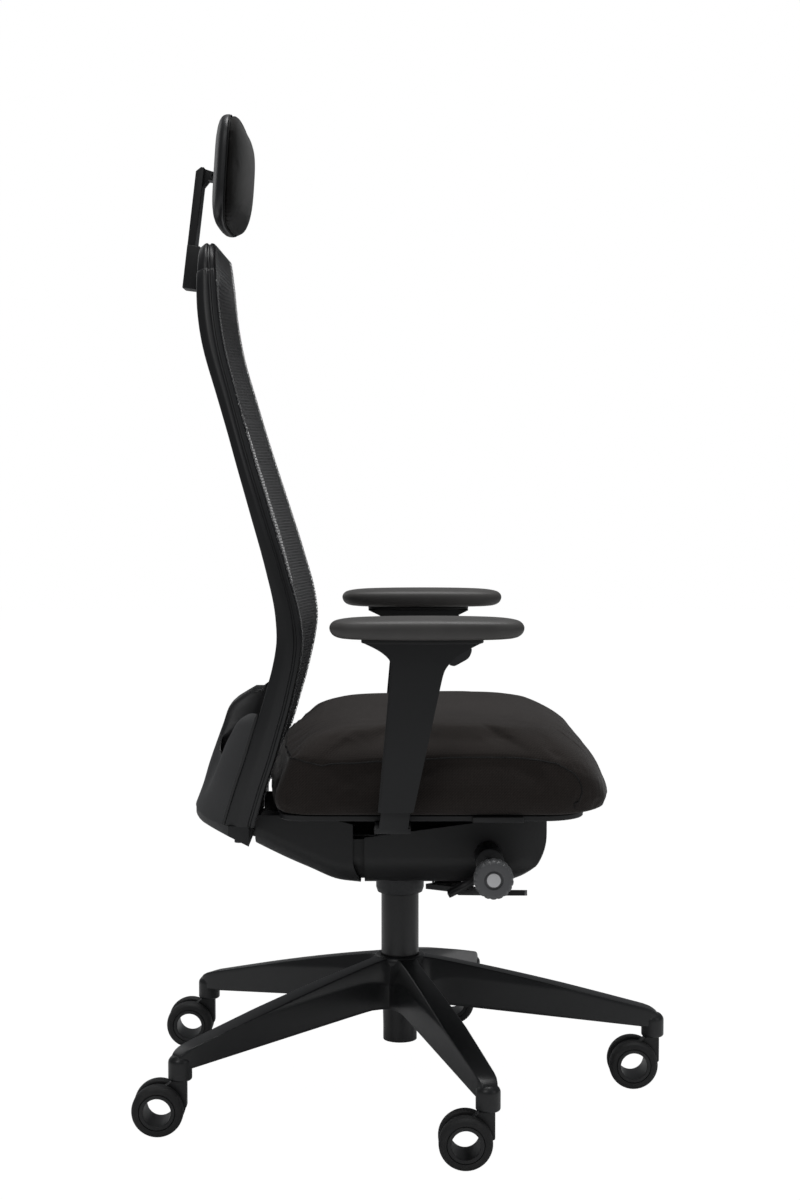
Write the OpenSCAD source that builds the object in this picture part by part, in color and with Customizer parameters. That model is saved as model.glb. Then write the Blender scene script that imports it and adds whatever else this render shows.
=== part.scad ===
/* [Base] */
// Distance from the column axis to each castor stem
base_r = 340; // [300:1:360]
// Height of the top of the base's hub
hub_top = 181; // [172:1:190]
// Height of the underside of the hub
hub_bottom = 114; // [106:1:120]
// Outer radius of the hub
hub_r = 35; // [32:0.5:40]
// Height of the top of a leg at its castor
leg_tip_top = 104; // [102:1:112]
// Height of the underside of a leg beside its castor
leg_tip_bottom = 80; // [77:1:86]
// Bow of a leg's top over a straight line
leg_bow = 3.3; // [0:0.1:5]
// Width of a leg where it leaves the hub
leg_root_w = 40; // [34:1:46]
// Width of a leg at its castor
leg_tip_w = 27; // [24:0.5:30]
// Width of the flat on top of a leg
leg_flat_w = 20; // [14:0.5:24]
// Wall of a leg over the channel on its underside
leg_wall = 5; // [3:0.5:6]
// Radius of the boss that takes a castor stem
boss_r = 15; // [13:0.5:16]
// Height of the underside of that boss
boss_bottom = 68; // [67:0.5:72]

/* [Castors] */
// Outer radius of a wheel
wheel_r = 32.5; // [30:0.5:33]
// Radius of the open eye through a castor
eye_r = 17.5; // [14:0.5:18.5]
// Thickness of the fixed ring that the wheels turn on
ring_wall = 3; // [2.5:0.25:3.5]
// Width over both wheels
castor_w = 50; // [44:1:54]
// Thickness of the body between the wheels
castor_body_t = 14; // [13:0.5:16]
// Distance from the stem back to the wheels' axis
castor_trail = 27; // [22:0.5:28]
// Radius of the stem in the leg
stem_r = 5.5; // [5:0.1:6]
// Radius of the stem in the castor
stem_neck_r = 4; // [3.5:0.1:4.5]
// Chamfer along the edges of a wheel's tread
tread_chamfer = 4; // [2:0.5:5]

/* [Column] */
// Outer radius of the column's outer tube
tube_r = 25; // [24:0.5:26]
// Wall of the outer tube
tube_wall = 1.6; // [1.2:0.1:2.5]
// Height of the bottom of the outer tube
tube_bottom = 64; // [56:1:72]
// Height of the top of the outer tube
tube_top = 265; // [255:1:275]
// Radius of the gas spring's cylinder
gas_r = 14; // [13:0.5:15]
// Wall of the gas spring's cylinder
gas_wall = 2; // [1.5:0.25:2.5]
// Radius of the piston rod
rod_r = 5; // [4:0.25:6]
// Travel of the gas spring
lift_travel = 100; // [60:1:105]
// Radial narrowing of the tapered ends for each millimetre of length
taper_share = 0.025; // [0.02:0.001:0.03]
// Clearance between parts that turn or slide in one another
run_gap = 0.06; // [0.03:0.01:0.09]

/* [Mechanism] */
// Radius of the collar round the top of the column
collar_r = 32; // [30:0.5:34]
// Half of the width of the cast housing
housing_half = 56; // [50:1:60]
// Wall of the cast housing
housing_wall = 6; // [5:0.5:8]
// Height of the floor of the housing
housing_floor = 302; // [300:1:306]
// Height of the top of the housing's walls
housing_top = 350; // [346:1:354]
// How far the housing reaches behind the column
housing_rear = 62; // [56:1:68]
// How far the housing reaches in front of the column
housing_front = 140; // [134:1:150]
// Distance of the seat's tilt pivot in front of the column
tilt_x = 116; // [110:1:122]
// Height of the seat's tilt pivot
tilt_z = 366; // [362:0.5:368]
// Distance of the back's pivot behind the column
recline_x = 24; // [20:0.5:28]
// Height of the back's pivot
recline_z = 322; // [318:0.5:324]
// Radius of the pivot pins
pin_r = 6; // [5:0.25:7]

/* [Shroud] */
// Half of the width of the shroud under the seat
shroud_half = 104; // [98:1:110]
// Height of the shroud's flat bottom
shroud_bottom = 294; // [292:0.5:296]
// Distance of the shroud's front edge in front of the column
shroud_front = 190; // [184:1:196]
// Distance of the seam between the two shrouds behind the column
shroud_seam = 46; // [44:0.5:50]
// Wall of the shrouds
shroud_wall = 2.5; // [2:0.25:3]

/* [Seat] */
// Height of the crown of the cushion
seat_crown = 507; // [498:1:520]
// Height of the underside of the cushion
cushion_bottom = 406; // [404:0.5:410]
// Distance of the front of the cushion in front of the column
seat_front = 281; // [268:1:292]
// Distance of the rear of the cushion behind the column
seat_rear = 165; // [158:1:167]
// Half of the width of the cushion
seat_half = 246; // [238:1:248]
// Height of the seam along the cushion's sides
seam_z = 476; // [466:1:482]
// Travel of the seat's depth slide
depth_travel = 50; // [30:1:55]

/* [Armrests] */
// Distance of a pad's middle outside the inner face of its upright
pad_out = 26; // [22:1:32]
// Length of a pad
pad_l = 233; // [220:1:250]
// Width of a pad
pad_w = 94; // [84:1:104]
// Height of a pad's widest edge
pad_edge_z = 642; // [638:0.5:646]
// Rise of a pad's crown over its edge
pad_crown = 12; // [8:0.5:14]
// Distance of a pad's middle in front of the column
pad_x = 32; // [24:1:40]
// Gap between the cushion and an upright
arm_gap = 11; // [9:0.5:14]
// Thickness of an upright
upright_t = 24; // [22:0.5:26]
// Lean of an upright, and of its height travel
arm_lean = 8.5; // [7:0.5:10]
// Height travel of an armrest
arm_travel = 80; // [50:1:85]

/* [Back] */
// Height of the top of the back frame
back_top = 1115; // [1100:1:1125]
// Half of the width of the back at its widest
back_half = 238; // [232:1:244]
// Thickness of the frame's side members
member_t = 22; // [20:0.5:24]
// Thickness of the stretched mesh
mesh_t = 1.6; // [1.2:0.1:2]
// Depth to which the mesh dishes behind its frame
mesh_dish = 34; // [28:1:38]

/* [Headrest] */
// Half of the width of the headrest
head_half = 140; // [125:1:150]
// Height of the headrest from its bottom to its top
head_h = 141; // [120:1:146]
// Half of the width of the stalk
stalk_half = 22; // [19:0.5:26]
// Thickness of the stalk
stalk_t = 10; // [8:0.5:12]
// Lean of the stalk, and of its travel
stalk_lean = 7; // [6:0.5:8]
// Height travel of the headrest
head_travel = 40; // [20:1:42]

/* [Hidden] */

// Fineness of round shapes, and of the children of a hull
$fn = 96;
coarse = 32;
// Overrun of every cut, and the gap between pieces that only lie near one another
cut = 1;
near_gap = 0.4;
leg_count = 5;
leg_turn = 360 / leg_count;
leg_start = -leg_turn;

// Castor sizes
boss_chamfer = 2;
ring_outer = eye_r + ring_wall;
ring_lip = 2;
lip_depth = 2;
castor_half = castor_w / 2;
castor_body_half = castor_body_t / 2;
frame_disc_r = wheel_r - tread_chamfer;
tower_rear = stem_neck_r * 2.5;
tower_front = stem_neck_r * 2.1;
tower_top = boss_bottom - near_gap;
stem_bottom = wheel_r + stem_neck_r * 2;
stem_top = boss_bottom + stem_r * 4.6;

// Column sizes
tube_taper_l = 96;
tube_taper_top = hub_top - near_gap;
tube_floor = 4;
bush_l = 62;
bush_bottom = tube_top - bush_l;
clip_t = 2.4;
clip_r = rod_r * 2;
washer_t = 2;
ball_r = 2;
ball_count = 8;
race_r = rod_r * 2.2;
shoulder_r = rod_r * 1.8;
shoulder_t = 4;
bearing_bottom = tube_bottom + tube_floor;
bearing_top = bearing_bottom + washer_t * 2 + ball_r * 2;
gas_bottom = bearing_top + shoulder_t + near_gap * 4;
gas_plug = 8;
cone_l = 58;
cone_gap = 8;
cone_bottom = tube_top + cone_gap;
gas_top = cone_bottom + cone_l;
cone_top_r = gas_r - cone_l * taper_share;
piston_l = 12;
piston_top = gas_bottom + gas_plug + lift_travel + piston_l * 5;
release_r = 3;
release_rise = 4;
release_press = 2.5;

// Mechanism sizes
collar_bottom = tube_top + near_gap;
socket_r = gas_r * 1.6;
socket_top = gas_top - release_rise;
ear_half = housing_half + near_gap;
ear_t = 7;
pin_head = 3;
shaft_x = 113.6;
shaft_z = 333.7;
shaft_r = 5;
knob_out = 24;
knob_y = seat_half + knob_out;
knob_r = 24.5;
shaft_boss_r = 18;
shaft_boss_l = 50;
knob_t = 20;
cap_r = 9;
cap_ring = 2.6;
paddle_set = 58;
paddle_y = knob_y - paddle_set;
spring_r = 13;
spring_wire = 4;
spring_l = 62;
spring_turns = 7;
spring_x = 34;
spring_gap = 2;
spring_y = housing_half - housing_wall - spring_r - spring_wire / 2 - spring_gap;
spring_z = 325;
spring_rings = 8;
spring_sides = 6;

function leg_angle(i) = leg_start + (i - 1) * leg_turn;
function mix(a, b, t) = a + (b - a) * t;

// Lays a drawing of forward and height across the chair, from low_y to high_y
module across(low_y, high_y) {
  translate([0, high_y, 0]) rotate([90, 0, 0]) linear_extrude(high_y - low_y) children();
}

// A round bar or hole across the chair, its middle at x and z
module bar_y(x, z, low_y, high_y, r) {
  translate([x, low_y, z]) rotate([-90, 0, 0]) cylinder(r = r, h = high_y - low_y);
}

// A block between two corners
module block(low, high) {
  translate(low) cube(high - low);
}

module at_leg(i) {
  rotate([0, 0, leg_angle(i)]) translate([base_r, 0, 0]) rotate([0, 0, -leg_angle(i)]) children();
}

// One leg along +X: its side, its plan and its drafted section meet in one solid
module leg_body(inset, root, tip, drop) {
  top_edge = leg_tip_top - inset;
  root_top = hub_top - inset - boss_chamfer - max(0, root - hub_r) * 0.2;
  intersection() {
    across(-leg_root_w, leg_root_w) polygon(concat(
      [[root, hub_bottom - drop], [root, root_top]],
      [for (t = [0.24, 0.6]) [mix(root, tip, t), mix(root_top, top_edge, t) + leg_bow]],
      [[tip - boss_chamfer * 4, top_edge + boss_chamfer * 1.2],
        [tip - boss_chamfer, top_edge - boss_chamfer / 2],
        [tip, top_edge - boss_chamfer * 2.5],
        [tip, leg_tip_bottom - drop], [hub_r * 1.8, hub_bottom - drop]]));
    linear_extrude(hub_top + cut * 2) polygon([
      [root, -leg_root_w / 2 + inset], [tip, -leg_tip_w / 2 + inset],
      [tip, leg_tip_w / 2 - inset], [root, leg_root_w / 2 - inset]]);
    rotate([90, 0, 90]) linear_extrude(tip) polygon([
      [-leg_root_w / 2 + inset - cut, -cut], [-leg_root_w / 2 + inset - cut, leg_tip_bottom],
      [-leg_flat_w / 2 + inset, hub_top + cut], [leg_flat_w / 2 - inset, hub_top + cut],
      [leg_root_w / 2 - inset + cut, leg_tip_bottom], [leg_root_w / 2 - inset + cut, -cut]]);
  }
}

module star_base() color("#17181a") difference() {
  union() {
    translate([0, 0, hub_bottom]) cylinder(r = hub_r, h = hub_top - hub_bottom);
    for (i = [1:leg_count]) {
      rotate([0, 0, leg_angle(i)])
        leg_body(0, mix(tube_r, hub_r, 0.5), base_r + boss_r * 0.55, -near_gap);
      at_leg(i) translate([0, 0, boss_bottom])
        cylinder(r = boss_r, h = leg_tip_top - boss_bottom - boss_chamfer * 4);
    }
  }
  for (i = [1:leg_count]) {
    rotate([0, 0, leg_angle(i)])
      leg_body(leg_wall, hub_r + leg_wall, base_r - boss_r - leg_wall * 2, hub_bottom);
    at_leg(i) translate([0, 0, boss_bottom - cut])
      cylinder(r = stem_r + run_gap, h = stem_top + near_gap - boss_bottom + cut);
  }
  column_cone(run_gap);
}

// The tapered foot of the outer tube, grown by a clearance, with the space over it
module column_cone(gap) {
  translate([0, 0, tube_taper_top - tube_taper_l])
    cylinder(r1 = tube_r - tube_taper_l * taper_share + gap, r2 = tube_r + gap, h = tube_taper_l);
  translate([0, 0, tube_taper_top]) cylinder(r = tube_r + gap, h = tube_top - tube_taper_top);
}

// Stems pressed into the legs, with a grip ring, and the necks on which the castors turn
module castor_stems() color("#8a8c8e") for (i = [1:leg_count]) at_leg(i) {
  translate([0, 0, boss_bottom]) cylinder(r = stem_r, h = stem_top - boss_bottom);
  translate([0, 0, stem_bottom]) cylinder(r = stem_neck_r, h = boss_bottom - stem_bottom);
}

// The body between two wheels: the disc, the tower under the leg and the ring that they turn on
module castor_frame(i) color("#1b1c1e") at_leg(i) difference() {
  union() {
    across(-castor_body_half, castor_body_half) {
      translate([-castor_trail, wheel_r]) circle(r = frame_disc_r);
      polygon([[-tower_rear, wheel_r], [tower_front, wheel_r], [tower_front, tower_top],
        [-tower_rear, tower_top], [-castor_trail, wheel_r + frame_disc_r * 0.9]]);
    }
    translate([-castor_trail, 0, wheel_r]) rotate([90, 0, 0])
      rotate_extrude() polygon([
        [0, -castor_half], [ring_outer + ring_lip, -castor_half],
        [ring_outer + ring_lip, -castor_half + lip_depth], [ring_outer, -castor_half + lip_depth],
        [ring_outer, castor_half - lip_depth], [ring_outer + ring_lip, castor_half - lip_depth],
        [ring_outer + ring_lip, castor_half], [0, castor_half]]);
  }
  bar_y(-castor_trail, wheel_r, -castor_half - cut, castor_half + cut, eye_r);
  translate([0, 0, stem_bottom - near_gap]) cylinder(r = stem_neck_r + run_gap, h = tower_top);
}

// Two wheels, each with a recess that clears the lip of the ring
module castor_wheels(i) color("#101113") at_leg(i)
  for (side = [0, 1]) mirror([0, side, 0])
    translate([-castor_trail, 0, wheel_r]) rotate([90, 0, 0]) rotate_extrude() polygon([
      [ring_outer + run_gap, castor_body_half + near_gap],
      [wheel_r - tread_chamfer / 2, castor_body_half + near_gap],
      [wheel_r, castor_body_half + near_gap + tread_chamfer / 2],
      [wheel_r, castor_half - tread_chamfer], [wheel_r - tread_chamfer, castor_half],
      [ring_outer + ring_lip + near_gap, castor_half],
      [ring_outer + ring_lip + near_gap, castor_half - lip_depth - near_gap],
      [ring_outer + run_gap, castor_half - lip_depth - near_gap]]);

module column_tube() color("#1c1d1f") difference() {
  union() {
    column_cone(0);
    translate([0, 0, tube_bottom])
      cylinder(r = tube_r - tube_taper_l * taper_share, h = tube_taper_top - tube_taper_l - tube_bottom + cut);
  }
  translate([0, 0, tube_bottom + tube_floor])
    cylinder(r = tube_r - tube_taper_l * taper_share - tube_wall, h = tube_top);
  translate([0, 0, bush_bottom]) cylinder(r = tube_r - tube_wall, h = bush_l + cut);
  translate([0, 0, tube_bottom - cut]) cylinder(r = rod_r + run_gap, h = tube_floor + cut * 2);
}

module column_bush() color("#d8d4c8") translate([0, 0, bush_bottom]) difference() {
  cylinder(r = tube_r - tube_wall - run_gap, h = bush_l);
  translate([0, 0, -cut]) cylinder(r = gas_r + run_gap, h = bush_l + cut * 2);
}

// Two washers and the ring of balls between them, round the foot of the piston rod
module thrust_bearing() color("#b9bbbd") {
  for (z = [bearing_bottom, bearing_top - washer_t]) translate([0, 0, z]) difference() {
    cylinder(r = race_r + ball_r, h = washer_t);
    translate([0, 0, -cut]) cylinder(r = rod_r + run_gap, h = washer_t + cut * 2);
  }
  for (i = [1:ball_count]) rotate([0, 0, i * 360 / ball_count])
    translate([race_r - ball_r / 2, 0, bearing_bottom + washer_t + ball_r]) sphere(r = ball_r);
}

// Clip under the tube that holds the rod down
module rod_clip() color("#b9bbbd") translate([0, 0, tube_bottom - clip_t]) difference() {
  cylinder(r = clip_r, h = clip_t);
  translate([0, 0, -cut]) cylinder(r = rod_r + run_gap, h = clip_t + cut * 2);
}

module piston_rod() color("#c9cbcd") {
  translate([0, 0, tube_bottom - clip_t * 2]) cylinder(r = rod_r, h = piston_top - tube_bottom + clip_t * 2);
  translate([0, 0, bearing_top + run_gap]) cylinder(r = shoulder_r, h = shoulder_t);
  translate([0, 0, piston_top - piston_l]) cylinder(r = gas_r - gas_wall - run_gap, h = piston_l);
}

// Pressure tube of the gas spring, with its tapered head and the way to its valve
module gas_cylinder() color("#2a2b2d") difference() {
  union() {
    translate([0, 0, gas_bottom]) cylinder(r = gas_r, h = cone_bottom - gas_bottom);
    translate([0, 0, cone_bottom]) cylinder(r1 = gas_r, r2 = cone_top_r, h = cone_l);
  }
  translate([0, 0, gas_bottom + gas_plug])
    cylinder(r = gas_r - gas_wall, h = cone_bottom - gas_bottom - gas_plug * 2);
  translate([0, 0, gas_bottom - cut]) cylinder(r = rod_r + run_gap, h = gas_plug + cut * 2);
  translate([0, 0, cone_bottom]) cylinder(r = release_r + run_gap, h = cone_l + cut);
}

module release_pin() color("#c9cbcd")
  translate([0, 0, cone_bottom + release_press * 2])
    cylinder(r = release_r, h = cone_l + release_rise - release_press * 2);

// Closes a list of rings into one solid; strip says that a ring is a thin band and not a convex loop
module loft(rings, strip = false) {
  n = len(rings[0]);
  last = (len(rings) - 1) * n;
  polyhedron(points = [for (ring = rings) each ring], faces = [
    for (k = [0:len(rings) - 2], i = [0:n - 1]) each [
      [k * n + i, (k + 1) * n + i, (k + 1) * n + (i + 1) % n],
      [k * n + i, (k + 1) * n + (i + 1) % n, k * n + (i + 1) % n]],
    if (!strip) for (i = [1:n - 2]) each [[0, i, i + 1], [last, last + i + 1, last + i]],
    if (strip) for (i = [0:n / 2 - 2]) each [
      [i, i + 1, n - 2 - i], [i, n - 2 - i, n - 1 - i],
      [last + i, last + n - 2 - i, last + i + 1], [last + i, last + n - 1 - i, last + n - 2 - i]]],
    convexity = 6);
}

// Cast housing: tray, collar and tapered socket over the column, walls, ears and spring plates
module mechanism_housing() color("#26272a") difference() {
  union() {
    block([-housing_rear, -housing_half, housing_floor],
      [housing_front, housing_half, housing_floor + housing_wall]);
    for (side = [0, 1]) mirror([0, side, 0]) {
      across(housing_half - housing_wall, housing_half) {
        polygon([[-housing_rear, housing_floor], [housing_front, housing_floor],
          [housing_front, housing_top], [-housing_rear, housing_top]]);
        polygon([[tilt_x - pin_r * 3, housing_top], [tilt_x + pin_r * 3, housing_top],
          [tilt_x + pin_r * 1.5, tilt_z + pin_r * 1.6], [tilt_x - pin_r * 1.5, tilt_z + pin_r * 1.6]]);
      }
    }
    translate([0, 0, collar_bottom])
      cylinder(r1 = collar_r - housing_wall / 3, r2 = collar_r, h = housing_wall);
    translate([0, 0, collar_bottom + housing_wall])
      cylinder(r = collar_r, h = housing_floor - collar_bottom - housing_wall);
    translate([0, 0, collar_bottom]) cylinder(r = socket_r, h = socket_top - collar_bottom);
    for (x = [spring_x - near_gap - housing_wall, spring_x + spring_l + near_gap])
      block([x, -housing_half, housing_floor], [x + housing_wall, housing_half, spring_z + spring_r]);
  }
  translate([0, 0, collar_bottom - cut])
    cylinder(r = gas_r + run_gap, h = cone_bottom - collar_bottom + cut);
  translate([0, 0, cone_bottom])
    cylinder(r1 = gas_r + run_gap, r2 = cone_top_r + run_gap, h = cone_l);
  bar_y(tilt_x, tilt_z, -housing_half - cut, housing_half + cut, pin_r + run_gap);
  bar_y(-recline_x, recline_z, -housing_half - cut, housing_half + cut, pin_r + run_gap);
  bar_y(shaft_x, shaft_z, -housing_half - cut, housing_half + cut, shaft_r + run_gap);
}

function coil_ring(t, side) = [for (k = [0:spring_sides - 1])
  let (turn = t * spring_turns * 360, lip = k * 360 / spring_sides, r = spring_r + spring_wire / 2 * cos(lip))
  [spring_x + spring_wire / 2 + t * (spring_l - spring_wire) + spring_wire / 2 * sin(lip),
    side * (spring_y + r * cos(turn)), spring_z + r * sin(turn)]];

// Two springs between the housing's plates that hold the back up
module tension_springs() color("#9a9c9e")
  for (side = [-1, 1]) {
    steps = spring_turns * spring_rings;
    rings = [for (i = [0:steps]) coil_ring(i / steps, side)];
    loft(side > 0 ? rings : [for (ring = rings) [for (k = [spring_sides - 1:-1:0]) ring[k]]]);
  }

module headed_pin(x, z, low_y, high_y) {
  bar_y(x, z, low_y, high_y, pin_r);
  bar_y(x, z, high_y, high_y + pin_head, pin_r * 1.5);
}

module back_pivot_pins() color("#8a8c8e") for (side = [0, 1]) mirror([0, side, 0])
  headed_pin(-recline_x, recline_z, housing_half - housing_wall, ear_half + arm_t + near_gap);

module tilt_pin() color("#8a8c8e") {
  reach = ear_half + ear_t + near_gap;
  headed_pin(tilt_x, tilt_z, -reach, reach);
  mirror([0, 1, 0]) headed_pin(tilt_x, tilt_z, housing_half, reach);
}

nose_r = 66;
shroud_top = 378;
shroud_rear_top = 356;
shroud_tail_top = 384;
bilge = 26;
quarter = [for (k = [0:6]) -90 + k * 15];

// The space of the front shroud, inset by a wall: its side view, met by its drafted section
module front_boat(inset, open) {
  intersection() {
    across(-shroud_half + inset, shroud_half - inset) polygon(concat(
      [[-shroud_seam - open, shroud_rear_top + open], [-shroud_seam - open, shroud_bottom + inset]],
      [for (a = quarter) [shroud_front - nose_r + (nose_r - inset) * cos(a),
        shroud_bottom + nose_r + (nose_r - inset) * sin(a)]],
      [[shroud_front - inset, shroud_top + open], [tilt_x, shroud_top + open]]));
    rotate([90, 0, 90]) translate([0, 0, -shroud_front]) linear_extrude(shroud_front * 2) polygon([
      [-shroud_half + inset, shroud_top + open], [-shroud_half + inset, shroud_bottom + bilge],
      [-shroud_half + bilge, shroud_bottom + inset], [shroud_half - bilge, shroud_bottom + inset],
      [shroud_half - inset, shroud_bottom + bilge], [shroud_half - inset, shroud_top + open]]);
  }
}

module front_shroud() color("#141517") difference() {
  union() {
    front_boat(0, 0);
    bar_y(shaft_x, shaft_z, -shroud_half - shaft_boss_l, -shroud_half + shroud_wall / 2, shaft_boss_r);
  }
  front_boat(shroud_wall, cut);
  translate([0, 0, shroud_bottom - cut]) cylinder(r = collar_r + near_gap, h = shroud_wall + bilge);
  bar_y(shaft_x, shaft_z, -paddle_y, 0, shaft_r + near_gap);
}

module tension_shaft() color("#8a8c8e")
  bar_y(shaft_x, shaft_z, -knob_y + cap_ring, housing_half - housing_wall / 2, shaft_r);

// Round knob with a socket for the shaft and a recess for its cap
module tension_knob() color("#4a4c4f") difference() {
  union() {
    bar_y(shaft_x, shaft_z, -knob_y, -knob_y + knob_t, knob_r);
    bar_y(shaft_x, shaft_z, -knob_y + knob_t, -knob_y + knob_t * 1.6, shaft_r * 2);
  }
  bar_y(shaft_x, shaft_z, -knob_y - cut, -knob_y + cap_ring, cap_r + run_gap);
  bar_y(shaft_x, shaft_z, -knob_y + cap_ring - run_gap, -knob_y + knob_t * 2, shaft_r + run_gap);
}

module knob_cap() color("#d9dadb")
  bar_y(shaft_x, shaft_z, -knob_y - near_gap, -knob_y + cap_ring - run_gap * 2, cap_r);

paddle_l = 56;
paddle_w = 30;
paddle_t = 5;
paddle_drop = 28;

// Paddle behind the knob that locks the back, turning on the knob's shaft
module lock_paddle() color("#1a1b1d") difference() {
  union() {
    bar_y(shaft_x, shaft_z, -paddle_y - paddle_w / 2, -paddle_y + paddle_w / 2, shaft_r * 2.2);
    translate([shaft_x, 0, shaft_z]) rotate([0, -paddle_drop, 0]) hull()
      for (x = [-paddle_l, -shaft_r], y = [-paddle_w, paddle_w] / 3)
        translate([x, -paddle_y + y, -paddle_t / 2]) cylinder(r = shaft_r, h = paddle_t, $fn = coarse);
  }
  bar_y(shaft_x, shaft_z, -paddle_y - paddle_w, -paddle_y + paddle_w, shaft_r + run_gap);
}

lever_x = 34;
lever_y = 24;
lever_z = 279;
lever_t = 7;
lever_reach_x = 160;
lever_bend_y = 78;
lever_bend = 11.6;
lever_reach_y = 190;
lever_w = 34;
lever_bore_r = 3;
lever_lug = 12;

// Flat lever under the shroud that lifts the gas spring's valve, bent upwards past the shroud's flat
module height_lever() color("#1a1b1d") difference() {
  union() {
    intersection() {
      lever_plate();
      block([0, -lever_bend_y, 0], [shroud_front, 0, shroud_top]);
    }
    translate([0, -lever_bend_y, lever_z]) rotate([-lever_bend, 0, 0]) intersection() {
      translate([0, lever_bend_y, -lever_z]) lever_plate();
      block([0, -lever_reach_y, -lever_t], [shroud_front, lever_t / 8, lever_t]);
    }
    translate([lever_x + lever_lug, -lever_y, lever_z]) rotate([0, 90, 0])
      cylinder(r = lever_bore_r * 2, h = lever_w * 1.4 - lever_lug);
  }
  translate([lever_x, -lever_y, lever_z]) rotate([0, 90, 0])
    cylinder(r = lever_bore_r + run_gap, h = lever_w * 2);
}

module lever_plate() translate([0, 0, lever_z - lever_t / 2]) linear_extrude(lever_t) polygon([
  [lever_x, -lever_y - lever_lug * 1.2], [lever_x + lever_lug, -lever_y - lever_lug / 2],
  [lever_x + lever_lug, -lever_y + lever_lug / 2], [lever_x + lever_w * 1.4, -lever_y + lever_lug / 2],
  [lever_x + lever_w * 1.4, -lever_y - lever_lug / 2],
  [lever_reach_x - lever_w / 4, -lever_reach_y + lever_w * 1.4],
  [lever_reach_x, -lever_reach_y + lever_w / 2], [lever_reach_x - lever_w / 8, -lever_reach_y],
  [lever_reach_x - lever_w * 1.1, -lever_reach_y], [lever_x + lever_w, -lever_y - lever_w]]);

// Pin and two lugs under the shroud on which the height lever rocks
module lever_pin() color("#8a8c8e") {
  start = lever_x + lever_lug - near_gap;
  finish = lever_x + lever_w * 1.4 + near_gap;
  translate([start - lever_bore_r, -lever_y, lever_z]) rotate([0, 90, 0])
    cylinder(r = lever_bore_r, h = finish - start + lever_bore_r * 2);
  for (x = [start - lever_bore_r, finish])
    block([x, -lever_y - lever_bore_r, lever_z - lever_bore_r],
      [x + lever_bore_r, -lever_y + lever_bore_r, shroud_bottom - near_gap]);
}

frame_t = 5;
frame_z = 386;
rail_half = 46;
rail_w = 12;
bracket_t = 6;
bracket_w = 44;
bracket_root = 66;
bracket_x = -9;
rail_top = frame_z + frame_t + bracket_t + near_gap * 2;
frame_half = 96;
frame_hold = 70;
frame_rear = depth_travel + frame_hold;
frame_front = 168;
screw_r = 3;
head_r = 6;
head_t = 3;

// Steel plate that tilts on the front pivot and carries the seat's rails and the armrests
module seat_frame() color("#222326") difference() {
  union() {
    block([-frame_rear, -frame_half, frame_z], [frame_front, frame_half, frame_z + frame_t]);
    for (side = [0, 1]) mirror([0, side, 0]) {
      block([-frame_rear, rail_half - rail_w / 2, frame_z + frame_t],
        [frame_front, rail_half + rail_w / 2, rail_top]);
      across(ear_half, ear_half + ear_t) polygon([
        [tilt_x - pin_r * 2, tilt_z - pin_r * 2], [tilt_x + pin_r * 2, tilt_z - pin_r * 2],
        [tilt_x + pin_r * 3, frame_z], [tilt_x - pin_r * 3, frame_z]]);
    }
  }
  bar_y(tilt_x, tilt_z, -shroud_half, shroud_half, pin_r + run_gap);
  for (side = [-1, 1], x = [-bracket_w, bracket_w] / 4)
    translate([bracket_x + x, side * (frame_half - head_r * 1.5), frame_z - cut])
      cylinder(r = screw_r + run_gap, h = frame_t + cut * 2);
}

// Screws that hold the armrest brackets down on the seat frame
module seat_screws() color("#8a8c8e") for (side = [-1, 1], x = [-bracket_w, bracket_w] / 4)
  translate([bracket_x + x, side * (frame_half - head_r * 1.5), frame_z - head_t - run_gap]) {
    cylinder(r = head_r, h = head_t);
    cylinder(r = screw_r, h = head_t + frame_t + bracket_t * 0.7);
  }

corner_steps = 8;

// A rounded plan: front and rear edges bow out in the middle by bow; corner radii front and rear
function seat_plan(front, rear, half, front_corner, rear_corner, bow) = concat(
  [for (k = [0:corner_steps]) let (a = 90 * k / corner_steps)
    [front - front_corner + front_corner * cos(90 - a), -half + front_corner - front_corner * sin(90 - a)]],
  [for (k = [1:corner_steps]) let (t = k / corner_steps)
    [front + bow * sin(t * 180), mix(-half + front_corner, half - front_corner, t)]],
  [for (k = [1:corner_steps]) let (a = 90 * k / corner_steps)
    [front - front_corner + front_corner * cos(a), half - front_corner + front_corner * sin(a)]],
  [for (k = [0:corner_steps]) let (a = 90 * k / corner_steps)
    [-rear + rear_corner - rear_corner * sin(a), half - rear_corner + rear_corner * cos(a)]],
  [for (k = [1:corner_steps]) let (t = k / corner_steps)
    [-rear - bow * sin(t * 180), mix(half - rear_corner, -half + rear_corner, t)]],
  [for (k = [1:corner_steps - 1]) let (a = 90 * k / corner_steps)
    [-rear + rear_corner - rear_corner * cos(a), -half + rear_corner - rear_corner * sin(a)]]);

front_corner = 70;
rear_corner = 38;
seat_bow = 16;
pan_t = cushion_bottom - rail_top - near_gap * 2;
pan_inset = 18;

// Moulded pan that slides on the rails, recessed where the depth latch sits
module seat_pan() color("#18191b") difference() {
  translate([0, 0, rail_top + near_gap]) linear_extrude(pan_t)
    polygon(seat_plan(seat_front - seat_bow - pan_inset * 2, seat_rear - seat_bow - near_gap,
      seat_half - pan_inset, front_corner - pan_inset, rear_corner - pan_inset / 2, seat_bow));
  block([latch_x - latch_l / 2 - near_gap, -seat_half, rail_top],
    [latch_x + latch_l / 2 + near_gap, -seat_half + latch_w + pan_inset, cushion_bottom]);
}

latch_x = 120;
latch_l = 62;
latch_w = 30;

// Finger plate at the side of the pan that frees the depth slide
module depth_latch() color("#101113")
  block([latch_x - latch_l / 2, -seat_half + pan_inset / 2, rail_top + near_gap],
    [latch_x + latch_l / 2, -seat_half + latch_w + pan_inset - near_gap, cushion_bottom - near_gap * 2]);

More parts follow.
